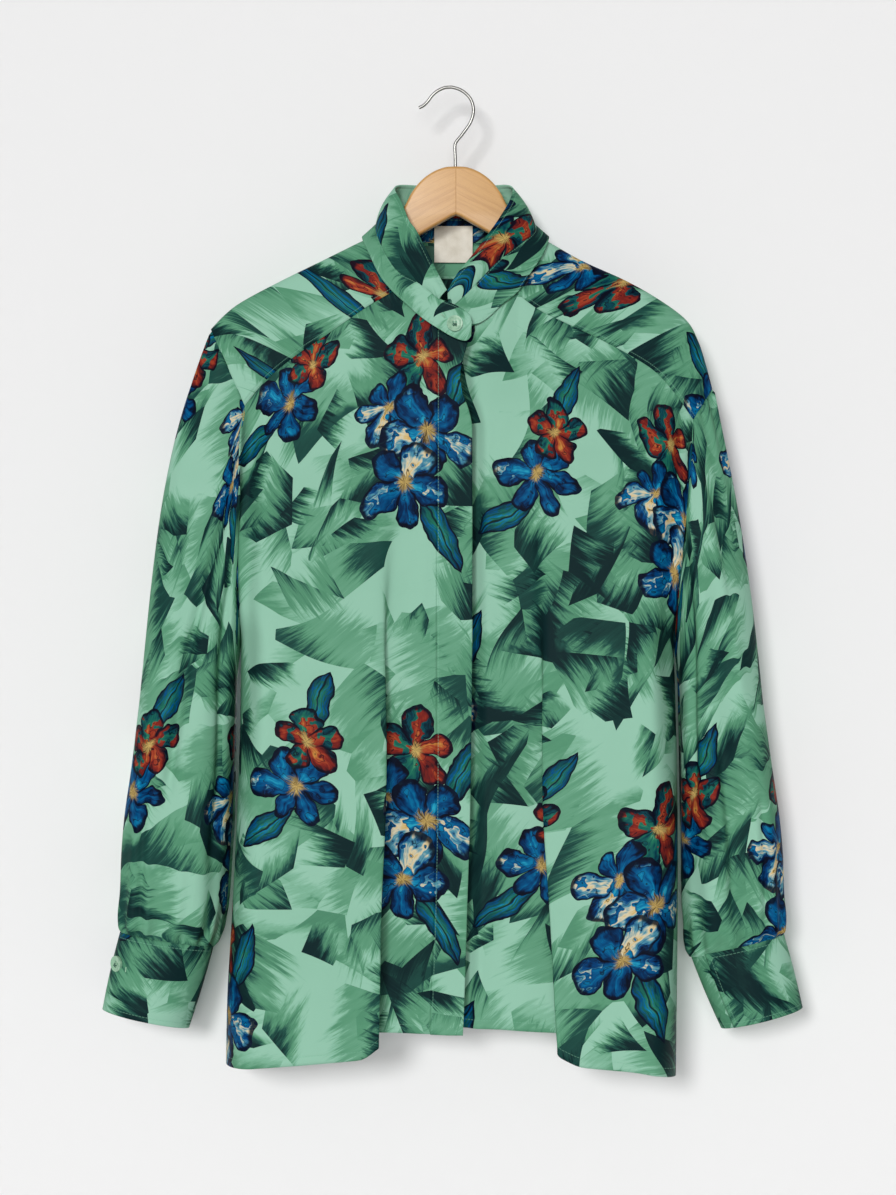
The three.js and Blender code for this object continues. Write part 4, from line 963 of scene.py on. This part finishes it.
def cuffGrid(cuff, sign):
    t, along = netOf(cuffLook["columns"], cuffLook["rows"])
    start = cuff["opening"] * fullTurn
    turn = cuff["way"] * (1 + cuff["overlap"]) * fullTurn
    lapped = smooth(0.8, 0, t) * cuffLook["lap"]
    bulge = np.sin(along * math.pi) * 0.8 + ripple(t * 12, along * 2, sign) * 0.35
    return cuffPoint(cuff, sign, start + turn * t, along, lapped + bulge), t, along


for name, node, side, cuff in (("cuffLeft", "cuff_left", left, leftCuff),
                               ("cuffRight", "cuff_right", right, rightCuff)):
    grid, t, along = cuffGrid(cuff, side.sign)
    place = cuffLook["left" if side is left else "right"]
    around, high = roundLength(grid), cuffLook["high"]
    fromEnd, fromEdge = np.minimum(t, 1 - t) * around, np.minimum(along, 1 - along) * high
    run = np.where(fromEnd < fromEdge, along * high, t * around)
    seam = (np.minimum(fromEnd, fromEdge) - cuffLook["stitch"], run)
    clothPiece(name, grid, -side.sign * cuff["way"], place, wall=cuffLook["wall"], seam=seam, node=node)
print("cuffs closed")

# Collar, spoke by spoke from the buttoned end round the back to the end under it
collar = {
    "columns": 240, "standRows": 20, "leafRows": 34, "leafFrom": 3, "bow": 3.5, "wall": 1.2, "stitch": 3.2,
    "stand": {"u": 4.1, "v": 0.33}, "leaf": {"u": 4.52, "v": 0.11},
    "seam": [(12.8, 221, -39.6), (8, 225, -39.6), (-3, 221.5, -38.6), (-17, 213, -36.6), (-30, 204, -34),
             (-43, 192.5, -30.6), (-57, 179, -26.4), (-67, 166, -23.4), (-76, 147.5, -19.5), (-82, 131.4, -4),
             (-70, 131, 14), (-38, 133, 25.4), (0, 134.2, 30), (38, 133, 25.4), (69, 131, 14), (81, 131.2, -4),
             (76, 147.5, -19.5), (66, 163, -22.4), (54.2, 180.6, -25.6), (40, 192.5, -28.4), (22, 208, -31.2),
             (-4, 216, -31.6)],
    "join": [(13.6, 208.6, -41), (10.8, 201.5, -41.4), (-0.5, 194, -41), (-14.1, 188.4, -39.6),
             (-24, 180.5, -37), (-36, 171.5, -33), (-50, 163.5, -27.5), (-60, 149, -21.5), (-67.5, 132, -12),
             (-69, 119, 4), (-58, 110.5, 16), (-30, 109.5, 26.4), (0, 110, 29.8), (30, 109.5, 26.4),
             (57, 110.5, 16), (68, 119, 4), (67, 128.5, -10), (53, 140.5, -20), (37, 153, -25.4),
             (22, 169, -30), (7, 185, -33), (-6, 197, -33.6)],
    "edge": [(-4, 188, -41.4), (-5, 187, -41.4), (-6, 185, -41.4), (-8.4, 181.5, -41), (-14.5, 169.5, -38.6),
             (-24, 149.5, -34.5), (-34.3, 128.5, -28.5), (-41, 118.4, -22.5), (-48, 100, -12),
             (-53.4, 88.5, 0), (-48, 83, 14), (-28, 82, 25), (0, 82, 29), (28, 82, 25), (44, 83, 14),
             (49.5, 88.5, 2), (46.6, 100, -9), (39, 114, -19), (30, 128, -26.5), (14.5, 149.5, -31.6),
             (2, 165, -33.8), (-7.6, 181, -34.4)],
}
collarSeam, collarJoin, collarEdge = (ringLine(collar[k]) for k in ("seam", "join", "edge"))


def leafGrid(t, w):
    low, high = collarJoin.at(t), collarEdge.at(t)
    grid = low + (high - low) * w[..., None]
    bow = np.sin(math.pi * w) * collar["bow"] * np.sin(math.pi * t) ** 0.5
    away = points(grid[..., 0], grid[..., 1] * 2, 0)
    away /= lengthOf(away)[..., None]
    outside = 0.35 * (1 - w) ** 2
    return grid + away * (bow + outside)[..., None]


t, w = netOf(collar["columns"], collar["standRows"])
grid = collarSeam.at(t) * (1 - w[..., None]) + collarJoin.at(t) * w[..., None]
length = roundLength(grid)
tall = lengthOf(grid[-1:] - grid[:1])
fromEdge = np.minimum(np.minimum(w, 1 - w) * tall, t * length)
seam = (fromEdge - collar["stitch"] * 0.5, t * length)
clothPiece("collarStand", grid, 1, collar["stand"], wall=collar["wall"], seam=seam, node="collar_stand")
leafFrom = collar["leafFrom"] / (len(collar["seam"]) - 1)
t, w = netOf(collar["columns"], collar["leafRows"], leafFrom)
grid = leafGrid(t, w)
tall = lengthOf(grid[-1:] - grid[:1])
fromEdge = np.minimum(np.minimum(1 - w, w + 0.3) * tall, np.minimum(t - leafFrom, 1 - t) * length)
seam = (fromEdge - collar["stitch"], t * length)
clothPiece("collarLeaf", grid, 1, collar["leaf"], wall=collar["wall"], seam=seam, node="collar_leaf")
print("collar stood up")

# Neck facing, inside the back of the neck
facing = {
    "width": 52, "top": 135.2, "bottom": 164.5, "clear": 1.7, "columns": 60, "rows": 16, "wall": 0.8,
    "u": 5.3, "v": 0.2, "fade": 0.25,
}
t, share = netOf(facing["columns"], facing["rows"], -1)
x = t * facing["width"]
u = np.abs(x) / yoke["neckOut"]
bottom = mix(facing["bottom"], facing["top"] + 6, u ** 3)
depth = mix(*yoke["neckDepth"], np.sin((1 - u) * math.pi / 2)) - share * 1.5 - facing["clear"]
grid = points(x, depth, -mix(facing["top"], bottom, share))
seam = (np.abs((1 - share) * (bottom - facing["top"])) - 2.0, x)
insideSilk = makeSilk("silkInside", facing["fade"])
obj = clothPiece("neckFacing", grid, 1, facing, wall=facing["wall"], seam=seam, material=insideSilk,
                 node="neck_facing")
print("neck faced")


# Rigid pieces: each is modelled, then given its material and slot and fastened to the root, and the CAD part
# of its node is hidden
def adopt(obj, name, material, node):
    obj.name = name
    choose(obj)
    bpy.ops.object.transform_apply(location=True, rotation=True, scale=True)
    obj.data.materials.clear()
    obj.data.materials.append(material)
    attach(obj, "root")
    if node:
        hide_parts(node)
    return obj


def applyModifier(obj, kind, **values):
    choose(obj)
    added = obj.modifiers.new(kind.lower(), kind)
    for key, value in values.items():
        setattr(added, key, value)
    bpy.ops.object.modifier_apply(modifier=added.name)


def bevel(obj, width, segments, degrees):
    applyModifier(obj, "BEVEL", width=width * mm, segments=segments, limit_method="ANGLE",
                  angle_limit=math.radians(degrees))


def pickFaces(obj, test):
    bpy.ops.mesh.select_all(action="DESELECT")
    bm = bmesh.from_edit_mesh(obj.data)
    for face in bm.faces:
        face.select_set(bool(test(face)))
    bm.select_flush(True)
    bmesh.update_edit_mesh(obj.data)


# Hanger: a board with an arched middle, two arms mitred at the centre
hanger = {
    "thick": 12.0, "bevel": 2.4, "clearance": 5.2, "end": (198, 206), "notch": 111.0,
    "top": [(0, 68.6), (10, 69.4), (21, 73.8), (31, 81.4), (39, 91.6), (44.5, 102.2), (52, 114), (64, 125)],
    "bottom": [(194, 217), (150, 196.5), (100, 168), (50, 139.2), (4, 112.6)],
    "pale": paint(203, 156, 94), "warm": paint(188, 139, 80), "streak": paint(158, 110, 60),
    "mitre": paint(140, 98, 60), "grainTurn": 27.0,
}


def makeWood(s):
    dye = Dye("beechWood")
    place = dye.split(dye.place())
    x = abs(place[0] * 1000.0 - centreX)
    z, y = place[2] * 1000.0, place[1] * 1000.0
    turn = math.radians(s["grainTurn"])
    along = x * math.cos(turn) - z * math.sin(turn)
    across = z * math.cos(turn) + x * math.sin(turn)
    side = (place[0] * 1000.0 > centreX) * 37.0  # the two arms have grain of their own
    waver = dye.noise(dye.join(along * 0.012, across * 0.03, side), 1.0, 2.0)
    rings = dye.noise(dye.join(along * 0.006, across * 0.34 + waver * 3.0, y * 0.2 + side), 1.0, 4.0, 0.6)
    fine = dye.noise(dye.join(along * 0.05, across * 2.6, y * 1.5 + side), 1.0, 3.0, 0.65)
    fleck = dye.noise(dye.join(along * 0.35, across * 2.4, y * 2.0), 1.0, 1.0).rise(0.62, 0.7)
    tone = rings * 0.55 + fine * 0.34 + 0.06
    colour = dye.ramp(tone, [(0.28, s["warm"]), (0.46, s["pale"]), (0.58, s["warm"]), (0.72, s["pale"])])
    colour = dye.blend(fleck * 0.25, colour, s["streak"])
    mitre = 1.0 - x.rise(0.0, 0.5)
    colour = dye.blend(mitre * 0.35, colour, s["mitre"])
    height = fine * 0.00005 - mitre * 0.0002
    return dye.finish(colour=colour, rough=0.42 + (fine - 0.5) * 0.12, normal=dye.bump(height, 0.6, 1.0),
                      coat=0.12, coatRough=0.3)


def woodHalf(side, s):
    crest = column([{"out": abs(p[0]), "drop": -p[2]} for p in side.ridge.knots], "out", "drop")

    def curved(table, steps):
        return [(p[0], -p[2]) for p in Line([(x, 0, -d) for x, d in table]).at(np.linspace(0, 1, steps))]
    endX, endDrop = s["end"]
    onRidge = [(x, float(crest(x)) + s["clearance"]) for x in np.linspace(76, 192, 24)]
    rounded = [(endX, float(crest(195)) + s["clearance"] + 4.5), (endX, endDrop + 6.5)]
    return curved(s["top"], 60) + onRidge + rounded + curved(s["bottom"], 40) + [(0, s["notch"])]


wood = makeWood(hanger)
loop = woodHalf(left, hanger) + [(-x, d) for x, d in woodHalf(right, hanger)[::-1]][1:-1]
mesh = bpy.data.meshes.new("hangerOutline")
mesh.from_pydata([((x + centreX) * mm, -hanger["thick"] / 2 * mm, -d * mm) for x, d in loop], [],
                 [list(range(len(loop)))])
board = bpy.data.objects.new("hangerBoard", mesh)
scene.collection.objects.link(board)
choose(board)
bpy.ops.object.mode_set(mode="EDIT")
bpy.ops.mesh.select_all(action="SELECT")
bpy.ops.mesh.extrude_region_move(TRANSFORM_OT_translate={"value": (0, hanger["thick"] * mm, 0)})
bpy.ops.mesh.select_all(action="SELECT")
bpy.ops.mesh.normals_make_consistent(inside=False)
bpy.ops.object.mode_set(mode="OBJECT")
bevel(board, hanger["bevel"], 4, 50)
bpy.ops.object.shade_smooth_by_angle(angle=math.radians(35))
adopt(board, "hangerBoard", wood, "hanger_wood")
print("hanger shaped")

# Hook: a bent wire with its stem in the wood
hook = {
    "wire": 2.9,
    "line": [(4.7, -92.6), (4.7, -64), (4.4, -50), (6.2, -45.6), (10.6, -40.2), (18.1, -29.2), (20.7, -19.1),
             (19, -10.7), (14.8, -4.8), (8.8, -0.6), (2.1, 1.5), (0, 1.6), (-4.6, 1.1), (-10.6, -1.5),
             (-15.5, -5.6), (-19.4, -10.7), (-23.1, -14.4), (-27.3, -16.6)],
    "tones": stopsOf((0.3, 130, 129, 126), (0.7, 166, 165, 161)),
}


def makeSteel(s):
    dye = Dye("hookSteel")
    place = dye.place()
    at = dye.split(place)
    drawn = dye.noise(dye.join(at[0] * 900.0, at[1] * 900.0, at[2] * 140.0), 1.0, 3.0, 0.6)
    smear = dye.noise(place, 60.0, 2.0)
    return dye.finish(colour=dye.ramp(smear, s["tones"]), metal=1.0, rough=0.24 + drawn * 0.12,
                      normal=dye.bump(drawn * 0.00003, 0.4, 1.0))


wirePath = Line([(x, 0, z) for x, z in hook["line"]]).along(np.linspace(0, 1, 150))
curve = bpy.data.curves.new("hookWire", "CURVE")
curve.dimensions = "3D"
curve.bevel_depth = hook["wire"] / 2 * mm
curve.bevel_resolution = 5
curve.use_fill_caps = True
spline = curve.splines.new("POLY")
spline.points.add(len(wirePath) - 1)
for knot, p in zip(spline.points, wirePath):
    knot.co = (p[0] * mm, p[1] * mm, p[2] * mm, 1)
wireObject = bpy.data.objects.new("hookWire", curve)
scene.collection.objects.link(wireObject)
choose(wireObject)
bpy.ops.object.convert(target="MESH")
wireObject = bpy.context.active_object
bevel(wireObject, 0.5, 3, 60)
bpy.ops.object.shade_smooth_by_angle(angle=math.radians(40))
adopt(wireObject, "hookWire", makeSteel(hook), "hook")
print("hook bent")

# Buttons: a turned disc with a rim and a dish, four holes and a crossed thread
buttonLook = {
    "radius": 6.9, "high": 2.5, "rim": 1.5, "lip": 0.8, "backRim": 1.2, "dish": 0.75,
    "holes": 0.85, "holeOut": 1.75, "bar": (4.4, 0.9), "strand": (4.0, 0.42), "arch": 0.9,
    "tones": stopsOf((0.3, 108, 154, 128), (0.55, 148, 188, 158), (0.8, 170, 204, 178)),
    "thread": stopsOf((0.3, 38, 78, 64), (0.7, 66, 110, 90)),
}


def makeShell(s):
    dye = Dye("buttonShell")
    place = dye.place()
    cloud = dye.noise(place, 260.0, 3.0, 0.6)
    swirl = dye.noise(place, 900.0, 2.0)
    return dye.finish(colour=dye.ramp(cloud * 0.8 + swirl * 0.2, s["tones"]), rough=0.34 + swirl * 0.14,
                      normal=dye.bump(swirl * 0.00004, 0.5, 1.0), coat=0.12, coatRough=0.2)


def makeThread(s):
    dye = Dye("buttonThread")
    twist = dye.noise(dye.place(), 2600.0, 2.0)
    return dye.finish(colour=dye.ramp(twist, s["thread"]), rough=0.7 + twist * 0.1,
                      normal=dye.bump(twist * 0.0001, 0.8, 1.0))


shellMaterial, threadMaterial = makeShell(buttonLook), makeThread(buttonLook)


def settle(obj, place, way):
    obj.data.transform(Vector((0, 0, 1)).rotation_difference(Vector(way).normalized()).to_matrix().to_4x4())
    obj.data.transform(Matrix.Translation(Vector(place) * mm + Vector((centreX * mm, 0, 0))))


def makeBar(name, place, along, s):
    deselect()
    bpy.ops.mesh.primitive_cylinder_add(vertices=12, radius=s["bar"][1] / 2 * mm, depth=s["bar"][0] * mm)
    bar = bpy.context.active_object
    bevel(bar, 0.2, 2, 60)
    bpy.ops.object.shade_smooth()
    settle(bar, place, along)
    adopt(bar, name, shellMaterial, None)


def makeDisc(s):
    high, out = s["high"] * mm, s["holeOut"] * mm
    deselect()
    bpy.ops.mesh.primitive_cylinder_add(vertices=64, radius=s["radius"] * mm, depth=high,
                                        location=(0, 0, high / 2))
    disc = bpy.context.active_object
    bpy.ops.object.mode_set(mode="EDIT")
    pickFaces(disc, lambda f: f.normal.z > 0.9)
    bpy.ops.mesh.inset(thickness=s["rim"] * mm)
    bpy.ops.transform.translate(value=(0, 0, -s["dish"] * 0.35 * mm))
    bpy.ops.mesh.inset(thickness=s["lip"] * mm)
    bpy.ops.transform.translate(value=(0, 0, -s["dish"] * 0.65 * mm))
    pickFaces(disc, lambda f: f.normal.z < -0.9)
    bpy.ops.mesh.inset(thickness=s["backRim"] * mm)
    bpy.ops.object.mode_set(mode="OBJECT")
    for k in range(4):
        turn = math.pi / 4 + k * math.pi / 2
        deselect()
        bpy.ops.mesh.primitive_cylinder_add(vertices=16, radius=s["holes"] * mm, depth=high * 3,
                                            location=(math.cos(turn) * out, math.sin(turn) * out, 0))
        drill = bpy.context.active_object
        applyModifier(disc, "BOOLEAN", operation="DIFFERENCE", object=drill, solver="EXACT")
        bpy.data.objects.remove(drill)
    bevel(disc, 0.28, 3, 40)
    bpy.ops.object.shade_smooth_by_angle(angle=math.radians(40))
    return disc


def makeStrand(tilt, lift, s):
    long, thin = s["strand"]
    deselect()
    bpy.ops.mesh.primitive_cylinder_add(vertices=10, radius=thin * mm, depth=long * mm,
                                        rotation=(0, math.pi / 2, 0))
    strand = bpy.context.active_object
    bpy.ops.object.transform_apply(location=True, rotation=True, scale=True)
    bpy.ops.object.mode_set(mode="EDIT")
    bpy.ops.mesh.select_all(action="SELECT")
    for cut in (-1.2, -0.6, 0.0, 0.6, 1.2):
        bpy.ops.mesh.bisect(plane_co=(cut * mm, 0, 0), plane_no=(1, 0, 0))
        bpy.ops.mesh.select_all(action="SELECT")
    bpy.ops.object.mode_set(mode="OBJECT")
    base = (s["high"] - s["dish"] + lift) * mm
    for vertex in strand.data.vertices:
        vertex.co.z += base - (vertex.co.x / (long / 2 * mm)) ** 4 * s["arch"] * mm
    strand.rotation_euler = (0, 0, math.radians(tilt))
    bpy.ops.object.transform_apply(location=True, rotation=True, scale=True)
    bpy.ops.object.shade_smooth()
    return strand


def makeButton(name, node, place, way, s):
    disc = makeDisc(s)
    threads = [makeStrand(45, 0.35, s), makeStrand(-45, 0.65, s)]
    for obj in [disc, *threads]:
        settle(obj, place, way)
    adopt(disc, name, shellMaterial, node)
    for k, strand in enumerate(threads):
        adopt(strand, f"{name}Thread{k}", threadMaterial, None)


makeButton("collarButton", "button_collar", (-1.2, -42.4, -211.3), (0.03, -1, 0.08), buttonLook)


def onCuff(angle, along, grow):
    return cuffPoint(rightCuff, right.sign, np.array(angle), np.array(along), grow).reshape(3)


# the button faces out of the cuff, whose half axes are about 42 and 26 mm
cuffButtonAt = 0.415 * fullTurn
way = Vector((math.cos(cuffButtonAt) / 42, -math.sin(cuffButtonAt) / 26, 0)).normalized()
place = onCuff(cuffButtonAt, 0.4, 3.1) + np.array(way) * 0.6
makeButton("cuffButton", "button_cuff_right", place, way, buttonLook)
makeBar("cuffHoleEnd", onCuff(cuffButtonAt - 0.34, 0.42, 3.3), (0.1, 0, 1), buttonLook)
makeBar("collarHoleEnd", (-11.4, -41.2, -203.4), (0.75, 0, -0.66), buttonLook)
print("buttons sewn on")

# Label: a small bare woven tab, sewn along its top
label = {
    "x": -2.2, "depth": 24.2, "wide": 34.0, "top": 117.6, "bottom": 150.2, "thick": 0.55,
    "tones": stopsOf((0.2, 204, 196, 178), (0.6, 230, 224, 210), (0.9, 236, 231, 219)),
}


def makeRibbon(s):
    dye = Dye("labelRibbon")
    place = dye.split(dye.place())
    x, z = place[0] * 1000.0, place[2] * 1000.0
    warp, weft = (x * 9.0).sin(), (z * 11.0).sin()
    weave = warp * weft
    cloud = dye.noise(dye.place(), 120.0, 2.0)
    return dye.finish(colour=dye.ramp(cloud * 0.7 + weave * 0.12 + 0.15, s["tones"]),
                      rough=0.62 + weave * 0.05, normal=dye.bump(weave * 0.00006, 0.6, 1.0), sheen=0.1)


deselect()
bpy.ops.mesh.primitive_grid_add(x_subdivisions=36, y_subdivisions=34, size=1, rotation=(math.pi / 2, 0, 0))
tab = bpy.context.active_object
high = label["bottom"] - label["top"]
tab.scale = (label["wide"] * mm, high * mm, 1)
tab.location = ((label["x"] + centreX) * mm, label["depth"] * mm, -(label["top"] + label["bottom"]) / 2 * mm)
bpy.ops.object.transform_apply(location=True, rotation=True, scale=True)
for vertex in tab.data.vertices:
    x = vertex.co.x / mm - centreX - label["x"]
    down = -vertex.co.z / mm - label["top"]
    share = down / high
    vertex.co.y += (-0.9 * share ** 2 + 0.5 * math.sin(x / 7.0) * share - 0.0016 * x * x) * mm
applyModifier(tab, "SOLIDIFY", thickness=label["thick"] * mm, offset=0.0)
bevel(tab, 0.12, 2, 60)
bpy.ops.object.shade_smooth_by_angle(angle=math.radians(40))
adopt(tab, "neckLabel", makeRibbon(label), "label")
print("label sewn in")


# Wall and floor
def makeWallPaint(s):
    dye = Dye("wallPaint")
    grain = dye.noise(dye.place(), 220.0, 3.0)
    colour = dye.blend(grain * 0.05, s["wallColour"], (0.8, 0.8, 0.8))
    material = dye.finish(colour=colour, rough=0.9, specular=0.15)
    clear = dye.node("ShaderNodeBsdfTransparent", {}, {})
    behind = dye.node("ShaderNodeNewGeometry", {}, {}, 6)
    both = dye.node("ShaderNodeMixShader", {}, {0: behind, 2: clear}, None)
    dye.tree.links.new(dye.shader.outputs[0], both.inputs[1])
    output = next(n for n in dye.tree.nodes if n.type == "OUTPUT_MATERIAL")
    dye.tree.links.new(both.outputs[0], output.inputs["Surface"])
    return material


wallPaint = makeWallPaint(studio)
deselect()
bpy.ops.mesh.primitive_plane_add(size=7, location=(0, studio["wallY"], 0.6), rotation=(math.pi / 2, 0, 0))
wall = bpy.context.active_object
wall.name = "wall"
wall.visible_shadow = False
wall.data.materials.append(wallPaint)
bpy.ops.mesh.primitive_plane_add(size=8, location=(0, 0, studio["floorZ"]))
floor = bpy.context.active_object
floor.name = "floor"
floor.data.materials.append(wallPaint)
print("wall and floor set")

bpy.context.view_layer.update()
for name, wide, long, area in sheets:
    print(f"cut {name}: {wide:.0f} x {long:.0f} mm, {area:.3f} square metres")
